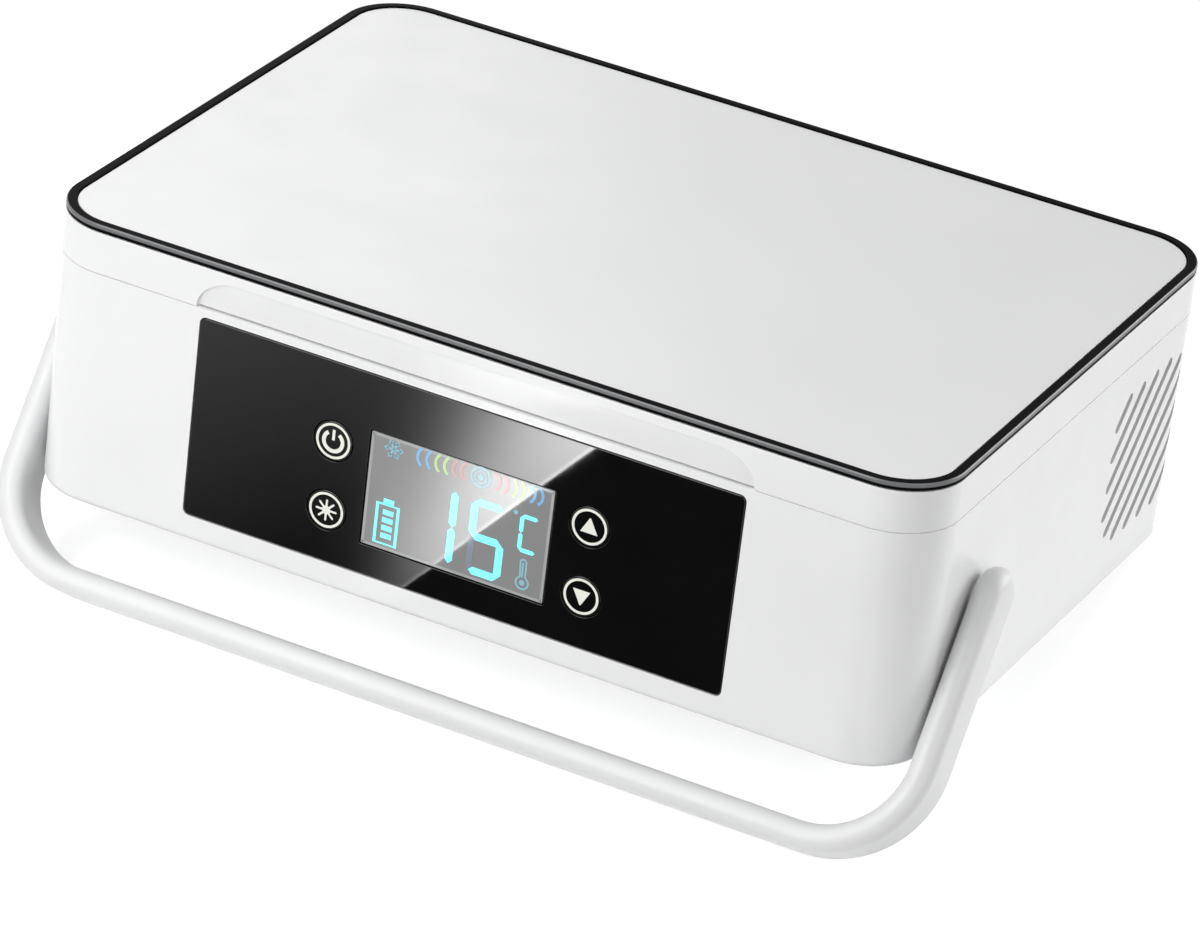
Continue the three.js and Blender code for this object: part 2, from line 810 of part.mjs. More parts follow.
function packLeft(index) {
  return bayInnerLeft + packGap + index * (packWidth + packGap);
}

// Two cells side by side in one shrink wrap: an outline with round ends.
function batteryPack(index) {
  const left = packLeft(index);
  const low = bayFloor + gap;
  const z = [low, low + packThickness];
  const radius = packThickness * cellRadiusShare;
  return frontSlab(roundedOutline([left, left + packWidth], z, radius), [packFront, packRear]);
}

function batteryContact(index) {
  const middle = packLeft(index) + packWidth / 2;
  const low = bayFloor + gap + (packThickness - contactHeight) / 2;
  const blades = both.map((side) => {
    const x = middle + (side * packWidth) / 4;
    const half = contactWidth / 2;
    const y = [contactFront, contactFront + contactThickness];
    return block([x - half, x + half], y, [low, low + contactHeight]);
  });
  const bridge = block(
    [middle - packWidth / 4, middle + packWidth / 4],
    [contactFront, contactFront + contactThickness / 2],
    [low, low + contactHeight / 4],
  );
  return joined(...blades, bridge);
}

function batteryDoor() {
  const x = [bayInnerLeft + gap, bayInnerRight - gap];
  const outer = rearFace - gap;
  const plate = block(x, [outer - doorThickness, outer], [bayFloor + gap, doorHingeZ + doorLip]);
  const bead = rodX(doorBeadRadius, x, doorHingeY, doorHingeZ);
  const stubX = [x[0] - doorStubLength, x[1] + doorStubLength];
  return joined(plate, bead, rodX(doorStubRadius, stubX, doorHingeY, doorHingeZ));
}

// The strap's centre line: arm, bend, bar, bend, arm, in the plane of X and Y,
// with the pivots on X and the bar towards the front.
class BailCurve extends THREE.Curve {
  constructor(half, reach, bend) {
    super();
    this.half = half;
    this.reach = reach;
    this.bend = bend;
    this.arm = reach - bend;
    this.arc = (Math.PI / 2) * bend;
    this.bar = 2 * (half - bend);
  }

  getPoint(share, target = new THREE.Vector3()) {
    const total = 2 * (this.arm + this.arc) + this.bar;
    const mirrored = share > 0.5;
    const run = (mirrored ? 1 - share : share) * total;
    const side = mirrored ? 1 : -1;
    if (run <= this.arm) return target.set(side * this.half, -run, 0);
    if (run <= this.arm + this.arc) {
      const angle = (run - this.arm) / this.bend;
      const x = this.half - this.bend + this.bend * Math.cos(angle);
      return target.set(side * x, -this.arm - this.bend * Math.sin(angle), 0);
    }
    const along = run - this.arm - this.arc;
    return target.set(side * (this.half - this.bend - along), -this.reach, 0);
  }
}

// The strap's section: flat faces with fully round edges.
function strapSection() {
  const radius = strapThickness / 2;
  const flat = strapWidth / 2 - radius;
  const shape = new THREE.Shape();
  shape.absarc(flat, 0, radius, -Math.PI / 2, Math.PI / 2);
  shape.absarc(-flat, 0, radius, Math.PI / 2, Math.PI * 1.5);
  shape.closePath();
  return shape;
}

// One pivot end: the round end of the arm and the grooved stub that goes through the wall.
function pivotEnd(side) {
  const along = (from, to) => [side * from, side * to].sort((a, b) => a - b);
  const armInner = armMiddle - strapThickness / 2;
  const armOuter = armMiddle + strapThickness / 2;
  const soft = strapThickness / 4;
  const eye = rodX(strapWidth / 2, along(armInner + soft, armOuter - soft), 0, 0, roundSteps);
  const eyeFace = rodX(strapWidth / 2 - soft, along(armInner, armOuter), 0, 0, roundSteps);
  const stub = rodX(stubRadius, along(stubEnd, armOuter - soft), 0, 0, roundSteps);
  const groove = cut(
    rodX(stubRadius + overrun, along(clipInner - gap, clipOuter + gap), 0, 0, roundSteps),
    rodX(stubRadius - stubGroove, along(stubEnd, armOuter), 0, 0, roundSteps),
  );
  return joined(eye, eyeFace, cut(stub, groove));
}

function handle() {
  const options = {
    steps: strapSteps,
    extrudePath: new BailCurve(armMiddle, handleReach, handleBend),
    curveSegments: strapEdgeSteps,
  };
  const strap = solidOf(new THREE.ExtrudeGeometry(strapSection(), options));
  return joined(strap, ...both.map(pivotEnd));
}

// The spring clip in the stub's groove, inside the wall, open towards the front.
function handleClip(side) {
  const x = [side * clipInner, side * clipOuter].sort((a, b) => a - b);
  const past = [x[0] - overrun, x[1] + overrun];
  const ring = rodX(clipRadius, x, 0, 0, roundSteps);
  const eye = rodX(stubRadius - stubGroove + gap, past, 0, 0, roundSteps);
  const mouth = block(past, [-clipRadius - overrun, 0], [-clipMouth / 2, clipMouth / 2]);
  return cut(ring, eye, mouth);
}

function lidKnuckles(side) {
  const middle = (side * hingeSpan) / 2;
  const x = [middle - lidKnuckle / 2, middle + lidKnuckle / 2];
  const web = block(x, [rearFace - lidWall / 2, hingeY], [lidBottom, lidBottom + lidWeb]);
  return joined(rodX(knuckleRadius, x, hingeY, hingeZ), web);
}

function lidFrame() {
  const shoulder = caseHeight - rimHeight - gap;
  const skirt = slab(caseOutline(0), [lidBottom, shoulder]);
  const crown = slab(caseOutline(rimWidth + gap), [lidCeiling, crownTop]);
  const hollow = slab(caseOutline(lidWall), [lidBottom - overrun, lidCeiling]);
  const bore = rodX(pinRadius + gap, [-hingeSpan, hingeSpan], hingeY, hingeZ);
  const frame = cut(joined(skirt, crown), hollow, gripScoop());
  return cut(joined(frame, ...both.map(lidKnuckles)), bore);
}

// The finger scoop in the lid's front: a wedge, deepest at the bottom, with round upper ends.
function gripScoop() {
  const half = panelHalf + scoopMargin;
  const top = lidBottom + scoopHeight;
  const outline = roundedOutline([-half, half], [lidBottom - scoopRadius * 2, top], scoopRadius);
  const hollow = frontSlab(outline, [frontFace - overrun, frontFace + scoopDepth + overrun]);
  const wedge = new THREE.BoxGeometry(half * 2, scoopHeight * 2, scoopHeight * 4);
  wedge.translate(0, -scoopHeight, 0);
  wedge.rotateX(Math.atan(scoopDepth / scoopHeight));
  wedge.translate(0, frontFace, top);
  return hollow.intersect(solidOf(wedge));
}

function rimTrim() {
  const z = [caseHeight - rimHeight, caseHeight];
  const inside = slab(caseOutline(rimWidth), [z[0] - overrun, z[1] + overrun]);
  return cut(slab(caseOutline(0), z), inside);
}

function topPanel() {
  const top = caseHeight - topPanelSink;
  return slab(caseOutline(rimWidth + gap), [top - topPanelThickness, top]);
}

function magnetBounds(side, offset) {
  const x = (side * magnetSpan) / 2;
  const halfX = magnetLength / 2 + offset;
  const halfY = magnetWidth / 2 + offset;
  return [
    [x - halfX, x + halfX],
    [magnetY - halfY, magnetY + halfY],
  ];
}

function lidLiner() {
  const plate = slab(caseOutline(lidWall + gap), [linerBottom, linerTop]);
  const plug = slab(trayOutline(-plugInset), [plugBottom, linerTop]);
  const hollow = slab(
    trayOutline(-plugInset - linerThickness),
    [plugBottom + linerThickness, linerTop + overrun],
  );
  const seats = both.map((side) => {
    return block(...magnetBounds(side, gap), [linerBottom - overrun, linerTop + overrun]);
  });
  return cut(joined(plate, plug), hollow, ...seats);
}

function lidFoam() {
  const plate = slab(caseOutline(lidWall + gap), [linerTop + gap, lidCeiling - gap]);
  const fill = slab(
    trayOutline(-plugInset - linerThickness - gap),
    [plugBottom + linerThickness + gap, linerTop + gap * 2],
  );
  return joined(plate, fill);
}

function lidGasket() {
  const z = [flangeTop + gap, linerBottom - gap];
  const inside = slab(trayOutline(gasketOut - gasketWidth), [z[0] - overrun, z[1] + overrun]);
  return cut(slab(trayOutline(gasketOut), z), inside);
}

function lidMagnet(side) {
  return block(...magnetBounds(side, 0), [linerBottom, linerTop]);
}

function strikePlate(side) {
  const low = deckTop + gap;
  return block(...magnetBounds(side, 0), [low, low + linerThickness]);
}

function hingePin(side) {
  const middle = (side * hingeSpan) / 2;
  const half = lidKnuckle / 2 + gap + shellKnuckle;
  return rodX(pinRadius, [middle - half, middle + half], hingeY, hingeZ);
}

// Finishes
function finish(color, roughness, metalness = 0) {
  return () => new THREE.MeshStandardMaterial({ color, roughness, metalness });
}

const glossWhite = finish(0xf0f0f0, 0.18);
const satinWhite = finish(0xe8e8e6, 0.45);
const satinSilver = finish(0xdcdcdd, 0.32, 0.2);
const darkTrim = finish(0x2e2e30, 0.35);
const glossBlack = finish(0x0a0a0b, 0.08);
const displayGlass = finish(0x8b8d90, 0.1);
const rubber = finish(0x3a3a3a, 0.85);
const steel = finish(0xb9bcc0, 0.3, 1);
const aluminium = finish(0xc8cbcf, 0.4, 1);
const foam = finish(0xf2efe6, 0.95);
const ceramic = finish(0xf4f4f2, 0.6);
const board = finish(0x1d5b34, 0.5);
const blackPlastic = finish(0x161617, 0.5);
const packWrap = finish(0x0a74e0, 0.22);
const brass = finish(0xc9a24a, 0.35, 1);

const coolingCase = new THREE.Group();

// Puts a piece in the case, or in one of its turned groups.
function place(name, solid, material, parent = coolingCase) {
  const mesh = new THREE.Mesh(geometryOf(solid), material());
  mesh.name = name;
  parent.add(mesh);
}

const sideName = (side) => (side < 0 ? "left" : "right");
const cornerName = ([sideX, sideY]) => (sideY < 0 ? "front_" : "rear_") + sideName(sideX);

place("body_shell", bodyShell(), glossWhite);
place("base_cover", baseCover(), satinWhite);
for (const corner of corners) {
  place("foot_" + cornerName(corner), foot(corner), rubber);
  place("base_screw_" + cornerName(corner), baseScrew(corner), steel);
}
place("inner_deck", innerDeck(), satinWhite);
place("cold_tray", coldTray(), aluminium);
place("insulation_block", foamBlock(), foam);
place("temperature_probe", probeBody(0), blackPlastic);
place("cold_plate", coldPlate(), aluminium);
place("thermoelectric_module", thermoelectricModule(), ceramic);
place("heat_sink", heatSink(), aluminium);
place("fan_frame", fanFrame(), blackPlastic);
place("fan_rotor", fanRotor(), blackPlastic);
place("main_board", mainBoard(), board);
place("dc_jack", jack(), blackPlastic);
place("display_board", displayBoard(), board);
place("display_module", displayModule(), displayGlass);
place("front_panel", frontPanel(), glossBlack);
for (const [name, spot] of Object.entries(keyPlaces)) {
  place("key_" + name, key(spot), glossBlack);
  place("key_switch_" + name, keySwitch(spot), blackPlastic);
}
place("battery_bay", batteryBay(), blackPlastic);
[0, 1].forEach((index) => {
  place("battery_pack_" + (index + 1), batteryPack(index), packWrap);
  place("battery_contact_" + (index + 1), batteryContact(index), brass);
});
place("battery_door", batteryDoor(), glossWhite);

const handleGroup = new THREE.Group();
handleGroup.position.set(0, pivotY, pivotHeight);
handleGroup.rotation.x = handleDroop;
coolingCase.add(handleGroup);
place("handle", handle(), glossWhite, handleGroup);
for (const side of both) place("handle_clip_" + sideName(side), handleClip(side), steel, handleGroup);

place("lid_frame", lidFrame(), glossWhite);
place("rim_trim", rimTrim(), darkTrim);
place("top_panel", topPanel(), satinSilver);
place("lid_liner", lidLiner(), satinWhite);
place("lid_insulation", lidFoam(), foam);
place("lid_gasket", lidGasket(), rubber);
for (const side of both) {
  place("lid_magnet_" + sideName(side), lidMagnet(side), steel);
  place("strike_plate_" + sideName(side), strikePlate(side), steel);
  place("hinge_pin_" + sideName(side), hingePin(side), steel);
}

export default coolingCase;
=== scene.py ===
# %% [markdown]
# # An insulin cooling case
#
# This file dresses a small cooling case: a white body with slanting vents, a lid with a dark rim and
# a silver top, a black glossy control panel with a display and four keys, and a flat carry handle.
# The frame brings in every part at its right size and place. Where a part shows, it is made again as
# a smooth surface; where it is out of sight, the frame's own part stays and only gets a finish.

# %% Load the frame
import math

import bmesh
import bpy
import numpy as np
from mathutils import Matrix, Vector


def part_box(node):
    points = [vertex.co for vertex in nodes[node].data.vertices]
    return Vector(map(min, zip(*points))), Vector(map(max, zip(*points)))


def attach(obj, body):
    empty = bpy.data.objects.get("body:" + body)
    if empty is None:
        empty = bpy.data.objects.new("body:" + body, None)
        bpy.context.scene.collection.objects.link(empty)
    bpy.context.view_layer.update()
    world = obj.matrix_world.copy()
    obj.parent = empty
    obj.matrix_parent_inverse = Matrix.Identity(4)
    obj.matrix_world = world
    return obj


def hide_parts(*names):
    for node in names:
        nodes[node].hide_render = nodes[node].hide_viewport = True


MM = 0.001
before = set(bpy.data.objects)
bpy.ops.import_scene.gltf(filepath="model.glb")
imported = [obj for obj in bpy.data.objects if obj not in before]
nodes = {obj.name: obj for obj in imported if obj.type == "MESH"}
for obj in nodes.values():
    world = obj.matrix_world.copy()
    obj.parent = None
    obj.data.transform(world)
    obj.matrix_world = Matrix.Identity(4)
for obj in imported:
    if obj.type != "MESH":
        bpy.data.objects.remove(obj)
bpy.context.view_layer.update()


# %% [markdown]
# The camera stands where the photo was taken from: in front, a little to the right and above, with a
# long lens and a slight roll. A long lens keeps the case's parallel edges almost parallel. The three
# directions are the camera's own axes, so no tracking constraint is needed.


# %% Camera
def placed(name, data):
    """A camera, lamp or mesh as a new object in the scene."""
    made = bpy.data.objects.new(name, data)
    bpy.context.scene.collection.objects.link(made)
    return made


camera_place = Vector((0.60758, -1.37598, 0.76793))
camera_right = Vector((0.88485, 0.45281, 0.10960))
camera_down = Vector((0.29391, -0.36001, -0.88545))
camera_forward = Vector((-0.36148, 0.81570, -0.45163))
lens = bpy.data.cameras.new("photo_camera")
lens.lens = 201.87
lens.sensor_width = 36
camera = placed("photo_camera", lens)
turn = Matrix((camera_right, -camera_down, -camera_forward)).transposed()
camera.matrix_world = Matrix.Translation(camera_place) @ turn.to_4x4()
bpy.context.scene.camera = camera
print("camera", round(camera_place.length, 3), "m from the base, lens", round(lens.lens, 2), "mm")

# %% [markdown]
# The basic sizes come from the frame's own parts, so that every new surface lands where the part it
# stands for is. `edges_of` gives a part's lowest and highest corner in millimetres.


# %% Sizes from the frame
def edges_of(name):
    """A part's lowest and highest corner, in millimetres."""
    low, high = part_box(name)
    return np.array(low) / MM, np.array(high) / MM


half_width, half_depth, case_top = edges_of("rim_trim")[1]
panel_low, panel_high = edges_of("front_panel")
panel_from, panel_to = panel_low[[0, 2]], panel_high[[0, 2]]
front = panel_low[1]
panel_thickness = 2.0
panel_radius = 1.5
corner_radius = 17.0
wall = 2.2
gap = 0.3
past = 1.0  # how far a cutting tool reaches past what it cuts
lid_bottom = 62.7
shell_top = lid_bottom - gap
print("case", *np.round([2 * half_width, 2 * half_depth, case_top], 2), "mm, front at", round(front, 2))

# %% [markdown]
# Every new piece is a grid of points: rows one way, columns the other, and a face between each four
# neighbours. One helper turns such a grid into a mesh. It can join the last column to the first, join
# the last row to the first, or close the first and last rows with one flat face each, so that every
# piece of the case is a closed skin. Several grids can go into one piece.


# %% Grids to meshes
def grid_faces(rows, columns, around, loop, start):
    """Faces of a grid as rows of four point numbers: here, right, right and up, up."""
    index = np.arange(rows * columns).reshape(rows, columns) + start
    right = np.roll(index, -1, axis=1)
    up = np.roll(index, -1, axis=0)
    both = np.roll(up, -1, axis=1)
    faces = np.stack([index, right, both, up], axis=-1)
    return faces[: None if loop else -1, : None if around else -1].reshape(-1, 4).tolist()


def skin(name, grids, around=True, loop=False, ends=False):
    """A mesh of one or more grids of points in millimetres."""
    points, faces, start = [], [], 0
    for grid in grids:
        rows, columns = grid.shape[:2]
        faces += grid_faces(rows, columns, around, loop, start)
        for row in (0, rows - 1) if ends else ():
            faces.append(list(range(start + row * columns, start + row * columns + columns)))
        points.append(grid.reshape(-1, 3))
        start += rows * columns
    mesh = bpy.data.meshes.new(name)
    mesh.from_pydata((np.concatenate(points) * MM).tolist(), [], faces)
    outward(mesh)
    return placed(name, mesh)


def solid(name, *grids):
    """Grids whose first and last rows are closed with flat faces."""
    return skin(name, grids, ends=True)


def outward(mesh):
    """Merges points that coincide and turns every face outwards."""
    shell = bmesh.new()
    shell.from_mesh(mesh)
    bmesh.ops.remove_doubles(shell, verts=shell.verts, dist=1e-6)
    bmesh.ops.recalc_face_normals(shell, faces=shell.faces)
    shell.to_mesh(mesh)
    shell.free()


print("grids of", len(grid_faces(3, 4, True, False, 0)), "faces for 3 rows of 4 points, joined round")


# %% [markdown]
# Almost every part of the case follows the same plan, a rectangle with round corners, at some
# distance inside the outer wall. `plan` gives that outline for any distance with the same number of
# points each time, so that outlines at different distances and heights can be joined into a skin.
# `carried` sets flat outlines at their places along an axis, and `turned` spins a profile about one.
# `chain` rounds the corners of a section, the way a mould maker breaks every edge.


# %% Outlines and sections
def arc(centre, radius, start, end, steps):
    """Points of a circle between two angles in degrees: centre plus radius times (cosine, sine)."""
    angles = np.radians(np.linspace(start, end, steps))
    return np.array(centre) + radius * np.column_stack([np.cos(angles), np.sin(angles)])


def plan(inset, half_x=half_width, low_y=-half_depth, high_y=half_depth, radius=corner_radius, corner=20):
    """A rectangle drawn in by a distance, anticlockwise; each corner is a quarter circle."""
    bend = np.maximum(radius - inset, 0.01)
    x = half_x - inset - bend
    low, high = low_y + inset + bend, high_y - inset - bend
    corners = [((x, low), -90), ((x, high), 0), ((-x, high), 90), ((-x, low), 180)]
    return np.concatenate([arc(centre, bend, start, start + 90, corner + 1) for centre, start in corners])


def carried(rows, axis):
    """Rows of points from pairs of a flat outline and its place along an axis."""
    return np.stack([np.insert(np.asarray(flat, float), axis, place, axis=1) for flat, place in rows])


def turned(profile, centre, axis, steps=48):
    """A profile of (radius, place) points turned about an axis, as on a lathe.

    Each point runs round a circle: radius times cosine and sine of the turning angle.
    """
    ring = arc((0, 0), 1, 0, 360, steps + 1)[:-1]
    middle = np.delete(np.array(centre, float), axis)
    return carried([(ring * radius + middle, place) for radius, place in profile], axis)


def chain(corners, steps=4, closed=True):
    """A section's corners (across, up, radius), each one rounded by its own radius.

    The arc's centre lies on the corner's middle line, the radius over the sine of half the corner's
    angle away, and the arc runs between the two points where it touches the sides.
    """
    points = []
    count = len(corners)
    for number, (across, up, radius) in enumerate(corners):
        here = np.array([across, up], float)
        if radius == 0 or (not closed and number in (0, count - 1)):
            points.append(here[None])
            continue
        ways = [corners[other % count][:2] - here for other in (number - 1, number + 1)]
        before, after = (way / np.linalg.norm(way) for way in ways)
        half = math.acos(before @ after) / 2
        middle = (before + after) / np.linalg.norm(before + after) * radius / math.sin(half)
        touch = [way * radius / math.tan(half) - middle for way in (before, after)]
        start, end = np.degrees(np.unwrap([math.atan2(y, x) for x, y in touch]))
        points.append(arc(here + middle, radius, start, end, steps + 1))
    return np.concatenate(points)


def plan_skin(section, **shape):
    """One outline per section point: the first number draws the plan in, the second is its height."""
    return carried([(plan(inset, **shape), height) for inset, height in section], 2)


def box_grid(low, high):
    """A box as two square outlines, one above the other."""
    corners = [(low[0], low[1]), (high[0], low[1]), (high[0], high[1]), (low[0], high[1])]
    return carried([(corners, low[2]), (corners, high[2])], 2)


print("plan outline has", len(plan(0)), "points")

# %% [markdown]
# A hole in a moulded wall is made with a tool of its own shape, taken away with a Boolean. The tool is
# deleted once its cut is fixed in the mesh. Every finished piece then gets its edges broken by a small
# Bevel, because no moulded edge is razor sharp, and a Weighted Normal, so that the large flat faces
# reflect like flat faces right up to their round edges.


# %% Cuts and edges
def cut_out(made, tools):
    """Takes the tools away from a piece and fixes the result in its mesh."""
    for tool in tools:
        step = made.modifiers.new("cut", "BOOLEAN")
        step.operation = "DIFFERENCE"
        step.solver = "EXACT"
        step.object = tool
    scene_graph = bpy.context.evaluated_depsgraph_get()
    result = bpy.data.meshes.new_from_object(made.evaluated_get(scene_graph))
    made.modifiers.clear()
    made.data = result
    for tool in tools:
        bpy.data.objects.remove(tool)


def edge_modifiers(made, width, segments, angle):
    """A bevel on every edge sharper than an angle, and normals weighted by face size."""
    bevel = made.modifiers.new("edges", "BEVEL")
    bevel.width = width * MM
    bevel.segments = segments
    bevel.limit_method = "ANGLE"
    bevel.angle_limit = math.radians(angle)
    weighted = made.modifiers.new("normals", "WEIGHTED_NORMAL")
    weighted.weight = 100
    return bevel, weighted


def break_edges(made, width, segments=2):
    """Smooth shading and a small bevel on every sharp edge of a new piece."""
    made.data.shade_smooth()
    bevel, weighted = edge_modifiers(made, width, segments, 35)
    bevel.miter_outer = "MITER_ARC"
    weighted.keep_sharp = True


def front_plan(low, high, radius, inset, corner=8):
    """A rectangle with round corners on the front, as (across, up) points."""
    half = (high - low) / 2
    return plan(inset, half[0], -half[1], half[1], radius, corner) + (low + high) / 2


def front_skin(low, high, radius, section):
    """One upright outline per section point: the first number draws it in, the second is its depth."""
    return carried([(front_plan(low, high, radius, inset), depth) for inset, depth in section], 1)


def front_tool(name, low, high, radius, back):
    """A tool with round corners, from before the front face to a depth behind it."""
    return solid(name, front_skin(low, high, radius, [(0, front - past), (0, back)]))


print("edge helpers ready")

# %% [markdown]
# A finish is a small net of nodes. Real plastic is never one flat colour: it has faint clouds from the
# mould's flow, a roughness that changes over the surface, a slow waviness and a fine grain. All of it
# is noise on the object's own coordinates, in real millimetres, so that it stays on the part when the
# camera or a joint moves. What is the same all over, such as metalness, is set on the shader itself.


# %% A finish from noise
def feed(tree, made, inputs):
    """Links the sockets among the inputs to a node and sets the plain values on it."""
    for key, value in inputs.items():
        if isinstance(value, bpy.types.NodeSocket):
            tree.links.new(value, made.inputs[key])
        else:
            made.inputs[key].default_value = value


def add(tree, kind, inputs=None, **settings):
    """A new node with its settings and its inputs; gives its output sockets."""
    made = tree.nodes.new(kind)
    for key, value in settings.items():
        setattr(made, key, value)
    feed(tree, made, inputs or {})
    return made.outputs


def new_finish(name, **plain):
    """A node material with one shader; plain values go on its own sockets, named with _ for a space."""
    material = bpy.data.materials.new(name)
    material.use_nodes = True
    tree = material.node_tree
    shader = tree.nodes["Principled BSDF"]
    feed(tree, shader, {key.replace("_", " "): value for key, value in plain.items()})
    return material, tree, shader


def cloud(tree, size, detail=3.0, stretch=(1, 1, 1)):
    """Noise whose clouds are about `size` millimetres, on Object coordinates, stretched along an axis."""
    place = add(tree, "ShaderNodeTexCoord")["Object"]
    fit = add(tree, "ShaderNodeMapping", {"Vector": place, "Scale": stretch})["Vector"]
    return add(tree, "ShaderNodeTexNoise", {"Vector": fit, "Scale": 1 / (size * MM), "Detail": detail})["Fac"]


def spread(tree, value, low, high):
    """Maps the noise's middle range, 0.3 to 0.7, onto the numbers from low to high."""
    limits = {"From Min": 0.3, "From Max": 0.7, "To Min": low, "To Max": high}
    return add(tree, "ShaderNodeMapRange", {"Value": value} | limits)["Result"]


def between(tree, value, first, second):
    """A colour between two others, by the noise."""
    shades = {"A": (*first, 1), "B": (*second, 1), "Factor": spread(tree, value, 0, 1)}
    return add(tree, "ShaderNodeMix", shades, data_type="RGBA")["Result"]


def relief(tree, value, depth, under=None):
    """A bump of `depth` millimetres, on top of another bump if there is one."""
    below = {} if under is None else {"Normal": under}
    height = {"Strength": 1, "Distance": depth * MM, "Height": value}
    return add(tree, "ShaderNodeBump", height | below)["Normal"]


def two_shades(tree, value, colour, vary):
    """A colour that the noise makes a little darker and lighter."""
    return between(tree, value, *(tuple(c * (1 + side * vary) for c in colour) for side in (-1, 1)))


def moulded(name, colour, roughness, vary, clouds=30, wave=0.01, grain=0.002, grain_size=0.5, **plain):
    """Moulded plastic: clouds in the colour, a varying roughness, a slow wave and a fine grain."""
    material, tree, shader = new_finish(name, **plain)
    slow = relief(tree, cloud(tree, 14, 1.0), wave)
    feed(tree, shader, {
        "Base Color": two_shades(tree, cloud(tree, clouds), colour, vary),
        "Roughness": spread(tree, cloud(tree, clouds / 4), roughness * 0.85, roughness * 1.15),
        "Normal": relief(tree, cloud(tree, grain_size, 2.0), grain, slow),
    })
    return material


def dress(made, material, body, slot, *stands_for, edge=0.05):
    """Gives a piece its finish and body, and hides the CAD parts it stands for; the slot is not used."""
    if edge:
        break_edges(made, edge)
    made.data.materials.clear()
    made.data.materials.append(material)
    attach(made, body)
    if stands_for:
        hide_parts(*stands_for)


gloss_white = moulded("gloss_white_plastic", (0.842, 0.845, 0.848), 0.2, vary=0.012, wave=0.012)
# The handle is the same white plastic, made satin; its greyer colour is painted shade.
strap_painted_shade_white = moulded("strap_white_painted_shade", (0.735, 0.738, 0.742), 0.4, vary=0.015)
satin_white = moulded("satin_white_plastic", (0.8, 0.81, 0.82), 0.42, vary=0.015, grain=0.006)
gloss_black = moulded("gloss_black_plastic", (0.0022, 0.0022, 0.0025), 0.03, vary=0.2, wave=0.0008,
                      grain=0.0002)
print("finishes", gloss_white.name, satin_white.name, gloss_black.name)

# %% [markdown]
# The body is one thin wall that follows the plan, open at the top and the bottom. Its section is a
# tall narrow loop: a soft round edge at the bottom, a fine one at the top. Carried round the plan it
# is a closed ring. A solid block with a hollow would look the same from outside, but this one can
# be looked into when the lid or the battery door stands open. The top edge comes right up to the lid,
# so the parting line is only the round lower edge of the lid, seen as a faint grey line.

# %% Body wall
wall_top = lid_bottom - 0.03
body_section = chain([(0, 0, 1.9), (0, wall_top, 0), (wall, wall_top, 0.3), (wall, 0, 0.15)], steps=6)
body_wall = skin("body_wall", [plan_skin(body_section)], loop=True)
print("body wall", len(body_wall.data.polygons), "faces")

# %% [markdown]
# The right wall carries a square field of slanting slots, where the fan blows out. Each slot is cut
# along the same slant and ends on the square's border, with a round end, as moulded slots have.
# The two corners of the square that the slots run into are rounded, so the slots there are shorter.
# The left wall gets the same field for the incoming air. The rear wall has the battery doorway and
# the round hole of the power inlet, and the front wall a recess for the panel.

# %% Vent slots and openings
vents_low, vents_high = np.array([30.75, 12.3]), np.array([76.8, 53.8])  # (along Y, up)
slot_count, slot_pitch, slot_width, first_slot = 10, 8.4, 2.5, 7.95
slot_slant = math.radians(45)
slot_cut = (-8.0, past)  # from inside to outside the wall's face
field_corner = 11.2


def slot_end(offset, corner, way):
    """Where a slot ends along Y: on the field's straight border or on its round corner.

    The slot's line passes the round corner's middle at a distance; the corner's circle cuts it half a
    chord on.
    """
    y, z = corner - way * field_corner
    aside = (y - z - offset) ** 2 / 2
    around = field_corner**2 / 2
    if aside > around:
        return way * min(way * corner[0], way * (corner[1] + offset))
    return (y + z + offset) / 2 + way * math.sqrt(around - aside / 2)


def slot_tool(side, number):
    """A slot as a stadium outline, turned to the slant, carried through the wall along X."""
    offset = vents_low[0] - vents_high[1] + first_slot + number * slot_pitch
    low, high = slot_end(offset, vents_low, -1), slot_end(offset, vents_high, 1)
    length = (high - low) / math.sin(slot_slant)
    end = arc(((length - slot_width) / 2, 0), slot_width / 2, -90, 90, 9)
    outline = np.concatenate([end, -end])
    along = np.array([math.sin(slot_slant), math.cos(slot_slant)])
    across = np.array([-along[1], along[0]])
    middle = (low + high) / 2 - np.array([0, offset])
    flat = outline[:, :1] * along + outline[:, 1:] * across + middle
    return solid("slot", carried([(flat, side * (half_width + x)) for x in slot_cut], 0))


bay_low, bay_high = edges_of("battery_bay")
bay_wall = 1.5
bay_left, bay_right = bay_low[0] + bay_wall, bay_high[0] - bay_wall
doorway_rise = 1.45
door_top = edges_of("battery_door")[1][2] + doorway_rise
rear_cut = (half_depth - wall - past, half_depth + past)
doorway = box_grid((bay_left, rear_cut[0], bay_low[2] + bay_wall), (bay_right, rear_cut[1], door_top))
inlet_radius = 4.3
inlet = turned([(inlet_radius, y) for y in rear_cut], sum(edges_of("dc_jack")) / 2, 1)
tools = [slot_tool(side, number) for side in (-1, 1) for number in range(slot_count)]
tools += [solid("doorway", doorway), solid("inlet", inlet),
          front_tool("recess", panel_from - gap, panel_to + gap, panel_radius + gap, front + 3)]
cut_out(body_wall, tools)
dress(body_wall, gloss_white, "case", "gloss_white", "body_shell", edge=0.1)
print("body wall after", len(tools), "cuts:", len(body_wall.data.polygons), "faces")

# %% [markdown]
# Inside the wall are the things that a moulded case needs: a thick pad with a ledge that the front
# panel lies on, a boss round each handle pivot, four screw posts, two small ears for the battery
# door, and the outer knuckles of the two lid hinges. They are seen through the openings and with the
# lid up. Each one is a simple carried outline, cut where something passes through.

